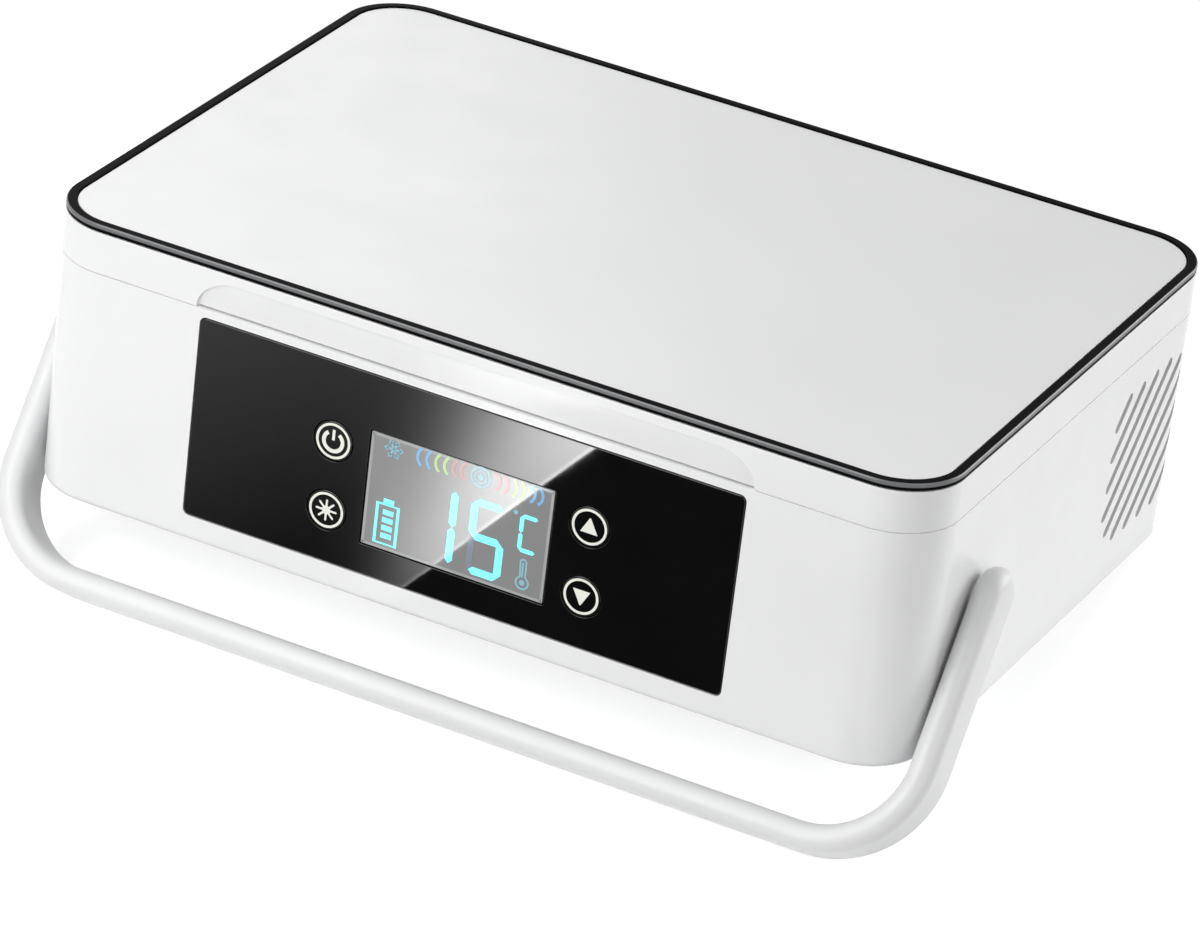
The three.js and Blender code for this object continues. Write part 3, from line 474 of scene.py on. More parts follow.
# %% Pad, bosses, posts and ears
pad_margin, ledge = 3.2, 3.0
seat_back = front + panel_thickness + gap
pad_back = seat_back + 2
pad = box_grid((-panel_high[0] - pad_margin, front + wall / 2, panel_low[2] - pad_margin),
               (panel_high[0] + pad_margin, pad_back, shell_top))
panel_pad = solid("panel_pad", pad)
cut_out(panel_pad, [front_tool("seat", panel_from - gap, panel_to + gap, panel_radius + gap, seat_back),
                    front_tool("window", panel_from + ledge, panel_to - ledge, 0.5, pad_back + past)])
dress(panel_pad, gloss_white, "case", "gloss_white", edge=0.2)

arm_gap = 1.0
strap_thickness = 7.0
pivot = np.array([half_width + arm_gap + strap_thickness / 2, front + 34.85, 35.8])
bore = 4.0 + gap
boss_radius, boss_start, boss_end = 7.5, 114.8, 118.9
boss = chain([(bore, boss_start, 0), (boss_radius, boss_start, 0.4), (boss_radius, boss_end, 0),
              (bore, boss_end, 0)])
bosses = [turned(boss * (1, side), pivot, 0) for side in (-1, 1)]
pivot_bosses = skin("pivot_bosses", bosses, loop=True)
dress(pivot_bosses, satin_white, "case", "gloss_white", edge=0.2)

post_x, post_y, post_half, post_span = 106.5, 77.2, 4.2, (2.8, 58.2)
post = plan(0, post_half, -post_half, post_half, 0.8, 4)
posts = [carried([(post + (x, y), z) for z in post_span], 2)
         for x in (-post_x, post_x) for y in (-post_y, post_y)]
ear_width, ear_start, ear_low, ear_high = 3, 81.6, 24.2, 28.6
ears = [box_grid((left, ear_start, ear_low), (left + ear_width, half_depth - wall / 2, ear_high))
        for left in (bay_left - ear_width, bay_right)]
screw_posts = solid("screw_posts", *posts)
door_ears = solid("door_ears", *ears)
for made in (screw_posts, door_ears):
    dress(made, satin_white, "case", "gloss_white", edge=0.3)
print("inside the wall:", panel_pad.name, pivot_bosses.name, screw_posts.name, door_ears.name)

# %% [markdown]
# A hinge knuckle is a short thick tube on a web that grows out of the wall. The body has two for each
# hinge and the lid one between them, with a small gap each side. The tube is a closed loop turned
# about the hinge line, so that the steel pin really passes through it.

# %% Hinge knuckles
hinge_y = half_depth + 3.4
hinge_z = shell_top + gap / 2
hinge_x = 70
lid_half, body_start, body_end = 6, 6.3, 14.3
pin_radius, knuckle_radius = 1.5, 3
web_inset, web_short = 0.05, 2.2


def knuckles(name, body, spans, web_low, web_high, web_start):
    """Tubes about the hinge line, each on a flat web from the wall to the line."""
    tubes, webs = [], []
    for start, end in spans:
        tube = chain([(pin_radius, start, 0.1), (knuckle_radius, start, 0.5), (knuckle_radius, end, 0.5),
                      (pin_radius, end, 0.1)])
        tubes.append(turned(tube, (0, hinge_y, hinge_z), 0, 40))
        webs.append(box_grid((start + web_inset, web_start, web_low),
                             (end - web_inset, hinge_y - web_short, web_high)))
    dress(skin(name, tubes, loop=True), gloss_white, body, "gloss_white", edge=0.1)
    web_piece = solid(name + "_webs", *webs)
    break_edges(web_piece, 0.4, 3)
    dress(web_piece, gloss_white, body, "gloss_white", edge=0)


body_spans, lid_spans = [], []
for middle in (-hinge_x, hinge_x):
    lid_spans.append((middle - lid_half, middle + lid_half))
    body_spans += [(middle - body_end, middle - body_start), (middle + body_start, middle + body_end)]
knuckles("body_knuckles", "case", body_spans, shell_top - 6, shell_top, half_depth - wall / 2)
knuckles("lid_knuckles", "lid", lid_spans, lid_bottom, lid_bottom + 2.7, half_depth - 1.8)
print("knuckles", len(body_spans) + len(lid_spans))

# %% [markdown]
# The lid is a shallow white tray turned upside down. Its section starts under the ceiling, goes down
# the inner wall, round the lower edge, up the outer wall and over the step that carries the rim. Both
# ends of the section are closed with a flat face, the ceiling below and the crown above.
#
# The front of the lower edge has a shallow scoop for a finger. Its tool is a surface over two
# directions, along the width and round its section. The upper end falls along a quarter ellipse at
# each side, and the back leans in more and more steeply towards the lower edge. A low gap under the
# scoop lets a fingernail in and shows as a soft grey line.

# %% Lid frame with its scoop
lid_wall, ceiling, shoulder, crown = 3.6, 72.4, 73.6, 74.2
rim_width = 2.5
step_in = rim_width + gap
lid_section = chain([
    (lid_wall, ceiling, 0), (lid_wall, lid_bottom, 0.2), (0, lid_bottom, 0.45), (0, shoulder, 0.2),
    (step_in, shoulder, 0), (step_in, crown, 0),
], closed=False)
lid_frame = solid("lid_frame", plan_skin(lid_section))

scoop_half = panel_high[0] + 1.7
scoop_height, scoop_depth, scoop_step, scoop_power = 8.4, 1.1, 0.25, 1.3
scoop_corner = np.array([11.0, 8.2])
grip_gap, grip_depth, grip_inset = 0.5, 3.0, 0.4


def scoop_grid(columns=121, steps=16):
    """Closed sections over the width.

    The top falls by a quarter ellipse near the ends: the corner's height times one minus the root of
    one less the square of the distance past its centre over its width. The back lies behind the face
    by a small step, plus the rest of the depth times the share of the height, to a power.
    """
    x = scoop_half * np.sin(np.linspace(-math.pi / 2, math.pi / 2, columns))
    beyond = np.clip((np.abs(x) - scoop_half) / scoop_corner[0] + 1, 0, 1)
    top = lid_bottom + scoop_height - scoop_corner[1] * (1 - np.sqrt(1 - beyond**2))
    low = lid_bottom - past
    z = low + (top[:, None] - low) * np.linspace(0, 1, steps)
    lean = np.clip(lid_bottom + scoop_height - z, 0, None) / scoop_height
    y = front + scoop_step + (scoop_depth - scoop_step) * lean**scoop_power
    back = np.stack([np.broadcast_to(x[:, None], z.shape), y, z], axis=-1)
    face = back[:, [-1, 0]].copy()
    face[..., 1] = front - past
    return np.concatenate([back, face], axis=1)


under = box_grid((grip_inset - scoop_half, front - past, lid_bottom - past),
                 (scoop_half - grip_inset, front + grip_depth, lid_bottom + grip_gap))
cut_out(lid_frame, [solid("scoop", scoop_grid()), solid("grip_gap", under)])
dress(lid_frame, gloss_white, "lid", "gloss_white", "lid_frame", edge=0.2)
print("lid frame", len(lid_frame.data.polygons), "faces")

# %% [markdown]
# A dark trim runs round the lid's upper edge. Its section is a small square loop with soft corners. Its
# flat top is painted deep black with almost no reflection, as painted shade, and a thin band along the
# lower edge is painted black as a shadow under the trim. The side is a mid grey metallic paint, so the
# faces are sorted by their height and by the direction that they look in.

# %% Rim trim
# The black is painted shade: a black with almost no reflection for the top, and a painted shadow along the
# lower edge.
rim_painted_shade_black = moulded("rim_black_painted_shade", (0.004, 0.004, 0.0045), 0.12, vary=0.2, wave=0.003, grain=0.0006,
                    Specular_IOR_Level=0.01)
rim_grey = moulded("rim_metallic_grey", (0.14, 0.143, 0.147), 0.32, vary=0.04, wave=0.004, Metallic=0.25)
rim_bottom = case_top - 1.9
painted_shadow_top = rim_bottom + 0.8
looks_up = 0.85
rim_section = chain([
    (0, rim_bottom, 0.1), (0, painted_shadow_top, 0), (0, case_top, 0.45), (rim_width, case_top, 0.2),
    (rim_width, rim_bottom, 0.1),
])
rim_trim = skin("rim_trim", [plan_skin(rim_section)], loop=True)
dress(rim_trim, rim_painted_shade_black, "lid", "dark_trim", "rim_trim")
rim_trim.data.materials.append(rim_grey)
faces = rim_trim.data.polygons
normals, middles = np.zeros((2, len(faces), 3), np.float32)
faces.foreach_get("normal", normals.ravel())
faces.foreach_get("center", middles.ravel())
# Outer faces that don't look up, above the painted shadow, get the grey; the rest keep the painted black
# shade.
outer = (normals * middles)[:, :2].sum(axis=1) > 0
sides = outer & (normals[:, 2] < looks_up) & (middles[:, 2] > painted_shadow_top * MM)
faces.foreach_set("material_index", sides.astype(np.int32))
print("rim", len(sides), "faces,", int(sides.sum()), "of them on its sides")

# %% [markdown]
# The lid's top is one flat sheet in satin silver, a little lower than the rim. Silver paint is a
# light base with fine metal flakes, so it is partly metallic, with a fine grain in its roughness.

# %% Top panel
silver_panel = moulded("satin_silver_paint", (0.8, 0.803, 0.807), 0.34, vary=0.015, clouds=60,
                       wave=0.006, grain=0.003, grain_size=0.25, Metallic=0.3)
top_high = case_top - gap
top_section = chain([(step_in, top_high - 1, 0), (step_in, top_high, 0.2), (rim_width + 4, top_high, 0)],
                    closed=False)
top_panel = solid("top_panel", plan_skin(top_section))
dress(top_panel, silver_panel, "lid", "silver_panel", "top_panel")
print("top panel at", round(top_high, 2), "mm")

# %% [markdown]
# The front panel is a sheet of glossy black plastic with a window for the display and four round
# holes for the keys. Its outline is carried back by its thickness, with a fine round at the front.

# %% Front panel
window_low = np.array([-25.1, 15.1])
window_high = np.array([25.1, 45.98])
window_radius = 0.4
key_hole = 5.5
key_names = ("power", "light", "up", "down")
key_places = {name: (sum(edges_of("key_" + name)) / 2)[[0, 2]] for name in key_names}
panel_sheet = front_skin(panel_from, panel_to, panel_radius, [
    (0, front + panel_thickness), (0, front + 0.2), (0.06, front + 0.06), (0.2, front),
])
front_panel = solid("front_panel", panel_sheet)
holes = [turned([(key_hole, front - past), (key_hole, front + 3)], (x, 0, z), 1, 64)
         for x, z in key_places.values()]
tools = [solid("hole", hole) for hole in holes]
tools.append(front_tool("opening", window_low, window_high, window_radius, front + 3))
cut_out(front_panel, tools)
dress(front_panel, gloss_black, "case", "gloss_black", "front_panel", edge=0.12)
print("front panel", len(front_panel.data.polygons), "faces, keys at",
      {name: tuple(place.round(1)) for name, place in key_places.items()})

# %% [markdown]
# A key is turned about its own axis: a flat cap flush with the panel, a wider flange behind the panel
# that keeps it in, and a thin stem that reaches into its switch. Its first and last ring shrink to a
# point on the axis, so it is closed.

# %% Keys
cap_radius, flange_radius, stem_radius = 5.2, 6.2, 1.5
flange_front, flange_back, stem_end = front + 2.3, front + 3.1, front + 8.5
key_profile = chain([
    (0, front, 0), (cap_radius, front, 0.25), (cap_radius, flange_front, 0),
    (flange_radius, flange_front, 0.15), (flange_radius, flange_back, 0.15), (stem_radius, flange_back, 0.2),
    (stem_radius, stem_end, 0.3), (0, stem_end, 0),
], closed=False)
for name, (x, z) in key_places.items():
    key = skin("key_" + name + "_cap", [turned(key_profile, (x, 0, z), 1, 64)])
    dress(key, gloss_black, name + "_key", "gloss_black", "key_" + name)
print("keys", ", ".join(key_names))

# %% [markdown]
# The key marks are printed in cream white. A print is a very thin plate of its own shape, so that it
# has a crisp edge at any distance. `stroke` draws a line of even width along a path, and `plate` fills
# an outline. Both stand a few hundredths of a millimetre proud of the face they are printed on.

# %% Prints
sunk = 0.02  # how far a print reaches into the face it is on


def stroke(path, width, proud=0.05, loop=False):
    """A flat band along a path of (across, up) points.

    At each point the band reaches half its width to both sides, along the path's left-hand normal.
    """
    path = np.asarray(path, float)
    if loop:
        ahead = np.roll(path, -1, axis=0) - np.roll(path, 1, axis=0)
    else:
        ahead = np.gradient(path, axis=0)
    ahead /= np.linalg.norm(ahead, axis=1)[:, None]
    normal = np.column_stack([-ahead[:, 1], ahead[:, 0]]) * width / 2
    left, right = path + normal, path - normal
    return carried([(left, -proud), (right, -proud), (right, sunk), (left, sunk)], 1).swapaxes(0, 1)


def plate(outline, proud=0.05):
    """An outline of (across, up) points carried through a thin depth."""
    return carried([(outline, -proud), (outline, sunk)], 1)


def segment(start, end, width):
    """A straight segment with a point at both ends, as a six-sided outline."""
    start, end = np.array(start, float), np.array(end, float)
    way = (end - start) / np.linalg.norm(end - start)
    side = np.array([-way[1], way[0]]) * width / 2
    tip = way * width / 2
    return [start, start + tip + side, end - tip + side, end, end - tip - side, start + tip - side]


def ring(centre, radius, width, steps=72):
    """A closed round stroke."""
    return stroke(arc(centre, radius, 0, 360, steps + 1)[:-1], width, loop=True)


def disc(centre, radius, steps=24):
    """A round plate."""
    return plate(arc(centre, radius, 0, 360, steps + 1)[:-1])


def joined(name, pieces):
    """One object from several finished meshes."""
    shell = bmesh.new()
    for part in pieces:
        shell.from_mesh(part.data)
        bpy.data.objects.remove(part)
    mesh = bpy.data.meshes.new(name)
    shell.to_mesh(mesh)
    shell.free()
    return placed(name, mesh)


def printed(name, place, plates, loops):
    """All the prints of one colour as one object, moved to their place."""
    parts = [solid("print", grid + place) for grid in plates]
    return joined(name, parts + [skin("print", [grid + place], loop=True) for grid in loops])


print("a ring of", ring((0, 0), 4.5, 0.9).shape, "points")

# %% [markdown]
# Each key has a thin ring and a sign in it: a power sign, a small sun, an arrow up and an arrow down.
# The prints ride on the key, so they go in with it when it is pressed.

# %% Key marks
cream_print = moulded("cream_print", (0.83, 0.83, 0.76), 0.45, vary=0.03, clouds=4, wave=0, grain=0.001,
                      grain_size=0.15)
arrow = np.array([(-2.3, -1.7), (2.3, -1.7), (0.15, 2.3), (-0.15, 2.3)])
sun_start, sun_end = 0.6, 2.95
rays = [plate(segment(way * sun_start, way * sun_end, 0.55), 0.04) for way in arc((0, 0), 1, 0, 315, 8)]
signs = {
    "power": [stroke(arc((0, -0.1), 2.55, 125, 415, 49), 1.0), stroke([(0, 0.2), (0, 1.6), (0, 3.0)], 0.75)],
    "light": [disc((0, 0), 1.15, 32)] + rays,
    "up": [plate(arrow)],
    "down": [plate(arrow * (1, -1))],
}
for name, (x, z) in key_places.items():
    mark = printed("key_mark_" + name, (x, front, z), signs[name], [ring((0, 0), 4.35, 0.65)])
    dress(mark, cream_print, name + "_key", "gloss_black", edge=0)
print("key marks", len(signs))

# %% [markdown]
# The display is a block with a glass face, a fifth of a millimetre below the panel. Its ground is a
# cool grey, as an unlit liquid crystal display has, with a slightly lighter border. The glass mirrors
# as sharply as the panel round it.

# %% Display
lcd_ground = moulded("lcd_grey_glass", (0.268, 0.268, 0.27), 0.03, vary=0.03, clouds=20, wave=0.0008,
                     grain=0.0002, Specular_IOR_Level=0.75)
lcd_border = moulded("lcd_border", (0.4, 0.41, 0.41), 0.1, vary=0.03, clouds=8, wave=0, grain=0.0003)
glass_front = front + 0.2
block_front, block_back = front + 2.3, front + 10.7
glass_low, glass_high, glass_radius = window_low + gap, window_high - gap, 0.3
module = [
    front_skin(glass_low, glass_high, glass_radius,
               [(0, block_back), (0, glass_front + 0.1), (0.1, glass_front)]),
    front_skin(window_low - 2, window_high + 2, glass_radius, [(0, block_back), (0, block_front)]),
]
display = solid("display", *module)
dress(display, lcd_ground, "case", "display_glass", "display_module")
border_path = front_plan(glass_low, glass_high, glass_radius, 0.45, 4)
border = printed("display_border", (0, glass_front, 0), [], [stroke(border_path, 0.7, 0.02, loop=True)])
dress(border, lcd_border, "case", "display_glass", edge=0)
print("display face at", round(glass_front, 2))

# %% [markdown]
# The signs on the display are generic: a snowflake, a round sign between two rows of waves, a battery,
# a thermometer and a temperature in large digits. A digit is made of up to seven straight segments
# with pointed ends, as on every such display. Each colour is one object: clear cyan for the digits,
# pale blue for the small signs, blue, green and red for the waves, and a faint one for a segment that
# is off. The lit ones glow a little.


# %% Display signs
def digit(low, high, lit, width):
    """The lit segments of a digit between two corners: t, m and b across, the others upright."""
    size = np.subtract(high, low) / (1, 2)
    return [plate(segment(*(low + size * end for end in segment_ends[name]), width)) for name in lit]


def box_plate(x0, x1, z0, z1):
    """A small rectangular plate."""
    return plate([(x0, z0), (x1, z0), (x1, z1), (x0, z1)])


def wave(x, z, way, height=2.3, bow=1.15):
    """A crescent whose outermost point is at x: an arc over a chord of twice its height."""
    radius = (height**2 + bow**2) / (2 * bow)
    half = math.degrees(math.asin(height / radius))
    middle = 90 + 90 * way
    return stroke(arc((x + way * radius, z), radius, middle - half, middle + half, 13), 0.75)


segment_ends = {name: np.array(ends) for name, ends in {
    "t": ((0, 2), (1, 2)), "m": ((0, 1), (1, 1)), "b": ((0, 0), (1, 0)), "tl": ((0, 1), (0, 2)),
    "tr": ((1, 1), (1, 2)), "bl": ((0, 0), (0, 1)), "br": ((1, 0), (1, 1)),
}.items()}
second_digit = ((4.4, 17.9), (12.1, 36.3))
signs_z = 43.0
flake = (-18.5, 42.6)
fan_sign = (5.1, signs_z)
bulb = (18.9, 19.1)
tube_x = 18.7
cyan_signs = digit((-1.05, 17.7), (-1.05, 37.0), ("tr", "br"), 2.0)
cyan_signs += digit(*second_digit, ("t", "tl", "m", "br", "b"), 2.0)
cyan_signs += digit((17.1, 27.6), (21.3, 36.6), ("t", "tl", "bl", "b"), 1.1)
cyan_signs += [box_plate(-19.7, -16.8, low, low + 1.35) for low in (18.5, 20.6, 22.7, 24.8)]
cyan_signs += [box_plate(-19.8, -16.9, 27.5, 29.1)]
battery_case = [(-21.3, 17), (-15.6, 17), (-15.6, 27.5), (-21.3, 27.5)]
pale_signs = [disc((15.2, 37.0), 0.6), disc(bulb, 0.75), disc(fan_sign, 0.8),
              stroke([(tube_x, 20.5), (tube_x, 22.5), (tube_x, 24.5)], 0.45)]
flake_lines = ((0, 0, 2.7), (1.5, 50, 0.9), (1.5, -50, 0.9))  # an arm and its two twigs
for turn_by in range(0, 360, 60):
    for reach, lean_by, length in flake_lines:
        start = arc(flake, reach, turn_by, 0, 1)[0]
        end = arc(start, length, turn_by + lean_by, 0, 1)[0]
        pale_signs.append(plate(segment(start, end, 0.5), 0.04))
glass_tube = np.concatenate([arc(bulb, 1.65, 115, 425, 31), arc((18.75, 24.5), 0.8, 0, 180, 9)])
pale_loops = [ring(fan_sign, 2.5, 0.55, 40), ring(fan_sign, 1.55, 0.35, 32),
              stroke(glass_tube, 0.45, loop=True)]
sign_grids = {
    "cyan": (cyan_signs, [stroke(battery_case, 0.9, loop=True)]),
    "pale": (pale_signs, pale_loops),
    "off": (digit(*second_digit, ("bl",), 1.7), []),
}
wave_places = {
    "blue": (-12.1, -9.6, 19.7, 21.8), "green": (-7.2, -4.8, 14.9, 17.0), "red": (-2.5, -0.3, 10.3, 12.5),
}
for name, places in wave_places.items():
    sign_grids[name] = [wave(x, signs_z, 1 if x < fan_sign[0] else -1) for x in places], []
colours = {
    "cyan": ((0.22, 0.85, 0.86), 0.45), "pale": ((0.27, 0.5, 0.58), 0.1), "blue": ((0.22, 0.45, 0.72), 0.12),
    "green": ((0.45, 0.66, 0.3), 0.1), "red": ((0.56, 0.3, 0.3), 0.1), "off": ((0.27, 0.3, 0.36), 0.0),
}
for name, grids in sign_grids.items():
    colour, lit = colours[name]
    finish = moulded("sign_" + name, colour, 0.05, vary=0.04, clouds=6, wave=0, grain=0.0002,
                     Emission_Color=(*colour, 1), Emission_Strength=lit)
    sign = printed("display_signs_" + name, (0, glass_front, 0), *grids)
    dress(sign, finish, "case", "display_glass", edge=0)
print("display signs in", len(sign_grids), "colours")

# %% [markdown]
# The carry handle is one flat strap with round edges, bent twice so that it passes in front of the
# case, with a round eye at each end on the pivot. The centre line is straight, a quarter circle,
# straight across, a quarter circle and straight again. The section, a flat oval, is carried along it.
# Each end is half a turn of half the section about the pivot, which closes it without a seam.

# %% Carry handle
handle_reach = 67.4
handle_bend = 24.5
strap_width = 16.4
droop = math.radians(56.3)
ahead_way = np.array([0, -math.cos(droop), -math.sin(droop)])
flat_way = np.array([0, -math.sin(droop), math.cos(droop)])


def bail_line(bend_steps=32, straight_steps=12):
    """Points of the centre line as (across, ahead), and the strap's outward direction at each."""
    side, arm = -pivot[0], handle_reach - handle_bend
    down = np.linspace((side, 0), (side, arm), straight_steps, endpoint=False)
    bend = arc((0, 0), 1, 180, 90, bend_steps)
    corner = np.array([side + handle_bend, arm]) + handle_bend * bend
    half_bar = np.linspace(corner[-1], (0, handle_reach), straight_steps)[1:]
    points = np.concatenate([down, corner, half_bar])
    out = np.concatenate([np.tile([-1.0, 0], (straight_steps, 1)), bend, half_bar * 0 + (0, 1)])
    return (np.concatenate([half, half[-2::-1] * (-1, 1)]) for half in (points, out))


def stadium(steps=10):
    """The strap's section: (outward, flat) points with fully round edges."""
    radius = strap_thickness / 2
    end = arc((0, strap_width / 2 - radius), radius, 0, 180, steps)
    return np.concatenate([[(radius, 0)], end, [(-radius, 0)], -end])


def in_space(across, ahead, flat):
    """The handle's own directions turned into the case's."""
    across, ahead, flat = (v[..., None] for v in np.broadcast_arrays(across, ahead, flat))
    return pivot * (0, 1, 1) + across * np.array([1, 0, 0]) + ahead * ahead_way + flat * flat_way


points, out = (values[:, None] for values in bail_line())
section = stadium()
strap = in_space(points[..., 0] + out[..., 0] * section[:, 0], points[..., 1] + out[..., 1] * section[:, 0],
                 section[:, 1])
half_out, half_flat = section[: len(section) // 2 + 1].T
swing = np.linspace(0, math.pi, 25)[:, None]
eyes = [in_space(side * (pivot[0] + half_out), -half_flat * np.sin(swing), half_flat * np.cos(swing))
        for side in (-1, 1)]
shell = [skin("strap", [strap])] + [skin("eye", [eye], around=False) for eye in eyes]
handle = joined("carry_handle_strap", shell)
outward(handle.data)
stub_radius, groove_radius = 4, 3.2
stub_start, groove_start, groove_end, stub_end = 111.2, 112.7, 114.8, 121.5
stub_profile = chain([
    (0, stub_start, 0), (stub_radius, stub_start, 0.4), (stub_radius, groove_start, 0.1),
    (groove_radius, groove_start, 0.1), (groove_radius, groove_end, 0.1), (stub_radius, groove_end, 0.1),
    (stub_radius, stub_end, 0), (0, stub_end, 0),
], closed=False)
handle_stubs = skin("handle_stubs", [turned(stub_profile * (1, side), pivot, 0) for side in (-1, 1)])
dress(handle, strap_painted_shade_white, "carry_handle", "gloss_white", "handle")
dress(handle_stubs, gloss_white, "carry_handle", "gloss_white")
print("handle", len(handle.data.polygons), "faces")

# %% [markdown]
# Under the case are four round rubber feet. Rubber is dark and dull, with a fine grain.

# %% Feet
foot_rubber = moulded("foot_rubber", (0.03, 0.03, 0.032), 0.72, vary=0.15, clouds=5, grain=0.02,
                      grain_size=0.35)
case_corners = [f"{end}_{side}" for end in ("front", "rear") for side in ("left", "right")]
for corner in case_corners:
    name = "foot_" + corner
    low, high = edges_of(name)
    ground, tread, waist, top = low[2], low[2] + 0.35, low[2] + 1.2, high[2]
    profile = chain([
        (0, ground, 0), (4.4, ground, 0.3), (5.0, tread, 0.2), (6.1, tread, 0.3), (6.95, waist, 0.3),
        (7, top, 0.15), (0, top, 0),
    ], closed=False)
    foot = skin(name + "_rubber", [turned(profile, (low + high) / 2, 2, 56)])
    dress(foot, foot_rubber, "case", "rubber", name)
print("feet", len(case_corners))

# %% [markdown]
# With the lid up, the cooled tray shows: a box bent and welded from aluminium sheet, with round
# corners and a narrow flange. Its section runs from the floor up the inner wall, over the flange and
# down the outer wall. Aluminium sheet has fine streaks from rolling, so its noise is stretched. The
# lid's seal is a soft rubber loop with a lip that lies on the flange.


# %% Cooled tray and gasket
def brushed(name, colour, roughness, stretch, grain=0.004):
    """Bare metal with fine streaks along one axis, in its shade, roughness and relief."""
    material, tree, shader = new_finish(name, Metallic=1.0)
    streaks = cloud(tree, 0.35, 2.0, stretch)
    feed(tree, shader, {
        "Base Color": two_shades(tree, streaks, colour, 0.05),
        "Roughness": spread(tree, cloud(tree, 9), roughness * 0.8, roughness * 1.25),
        "Normal": relief(tree, streaks, grain, relief(tree, cloud(tree, 12, 1.0), 0.02)),
    })
    return material


rolled_aluminium = brushed("rolled_aluminium", (0.78, 0.79, 0.8), 0.34, (0.04, 1, 1))
tray_low, tray_high = edges_of("cold_tray")
flange, flange_low, sheet, tray_floor = 4.6, 60.6, 1.2, 19.2
tray_bottom, tray_top = tray_low[2], tray_high[2]
tray_shape = dict(half_x=tray_high[0] - flange, low_y=tray_low[1] + flange, high_y=tray_high[1] - flange,
                  radius=6.0)
tray_section = chain([
    (7, tray_floor, 0), (sheet, tray_floor, 2.6), (sheet, tray_top, 0.6), (-flange, tray_top, 0.3),
    (-flange, flange_low, 0.3), (0, flange_low, 0.4), (0, tray_bottom, 2.2), (6, tray_bottom, 0),
], closed=False)
tray = solid("cooled_tray", plan_skin(tray_section, **tray_shape))
dress(tray, rolled_aluminium, "case", "aluminium", "cold_tray")

seal_rubber = moulded("seal_rubber", (0.16, 0.165, 0.17), 0.62, vary=0.1, clouds=6, wave=0.02, grain=0.01,
                      grain_size=0.4)
seal_low, seal_high = (corner[2] for corner in edges_of("lid_gasket"))
lip = seal_low + 0.4
seal_section = chain([
    (-3.8, lip, 0.3), (-3.8, seal_high, 0.15), (0.2, seal_high, 0.15), (0.2, lip, 0.3),
    (-1.3, seal_low, 0.35), (-2.3, seal_low, 0.35),
])
seal = skin("lid_seal", [plan_skin(seal_section, **tray_shape)], loop=True)
dress(seal, seal_rubber, "lid", "rubber", "lid_gasket")
print("tray", round(2 * tray_high[0], 1), "mm long, seal", round(seal_high - seal_low, 1), "mm thick")

# %% [markdown]
# A battery pack is two round cells side by side in one blue shrink film. The film bridges the dip
# between the cells, but sinks a little there, and at the ends it is drawn over the edge and leaves a
# round opening. The outline is a flat oval whose height sinks in the middle. The film has fine
# wrinkles across it and a thin clear gloss.

# %% Battery packs
pack_film, tree, shader = new_finish("blue_shrink_film", Coat_Weight=0.5, Coat_Roughness=0.08)
wrinkles = relief(tree, cloud(tree, 3.5, 3.0, (1, 0.22, 1)), 0.12)
feed(tree, shader, {
    "Base Color": between(tree, cloud(tree, 12), (0.004, 0.12, 0.56), (0.006, 0.17, 0.72)),
    "Roughness": spread(tree, cloud(tree, 6), 0.22, 0.36),
    "Normal": relief(tree, cloud(tree, 0.5), 0.004, wrinkles),
})
cell_steel = moulded("cell_end_steel", (0.62, 0.62, 0.6), 0.3, vary=0.06, clouds=4, Metallic=1.0)
film_round, film_opening = 1.4, 2.2
dip_share, dip_width = 0.07, 4.5
cell_aside, cell_end = 9, 5.2


def pack_grid(low, high, steps=40):
    """A flat oval carried along Y.

    The outline is a stadium; its height is less in the middle by a bell curve, one less a share of
    e to the minus (across / 4.5) squared. Near both ends the film turns in over a quarter circle.
    """
    half, middle = (high - low) / 2, (low + high) / 2
    radius = half[2]
    reach = half[0] - radius
    end = arc((reach, 0), radius, -90, 90, steps)
    top = np.linspace((reach, radius), (-reach, radius), steps)[1:-1]
    outline = np.concatenate([end, top, -end, -top])
    outline[:, 1] *= 1 - dip_share * np.exp(-((outline[:, 0] / dip_width) ** 2))
    along, across = (film_round - arc((0, 0), film_round, 0, 90, 7)).T
    inset = np.concatenate([[film_opening], across, across[::-1], [film_opening]])
    places = np.concatenate([[low[1]], low[1] + along, high[1] - along[::-1], [high[1]]])
    rows = outline * (1 - inset[:, None, None] / half[[0, 2]]) + middle[[0, 2]]
    return carried(zip(rows, places), 1)


def end_disc(end, way):
    """The profile of a cell's end, a flat disc with a broken edge just inside the film's end."""
    inner, outer = end - way * 0.5, end - way * 0.02
    return [(0, inner), (cell_end, inner), (cell_end + 0.2, end - way * 0.2), (cell_end, outer), (0, outer)]


for number in (1, 2):
    low, high = edges_of(f"battery_pack_{number}")
    pack = solid(f"battery_pack_{number}_film", pack_grid(low, high))
    dress(pack, pack_film, "case", "pack_wrap", f"battery_pack_{number}")
    middle = (low + high) / 2
    ends = [turned(end_disc(end, way), middle + (side * cell_aside, 0, 0), 1, 32)
            for side in (-1, 1) for end, way in ((low[1], -1), (high[1], 1))]
    caps = skin(f"battery_pack_{number}_cell_ends", ends)
    dress(caps, cell_steel, "case", "steel")
print("battery packs 2")

# %% [markdown]
# The parts out of sight keep the frame's own solids. Their flat facets are welded and shaded smooth by
# a small node modifier, then get a fine bevel, and each gets the finish of what it is made of: pressed
# steel, cast ceramic, foam beads, brass, black and white plastic, and a green circuit board.


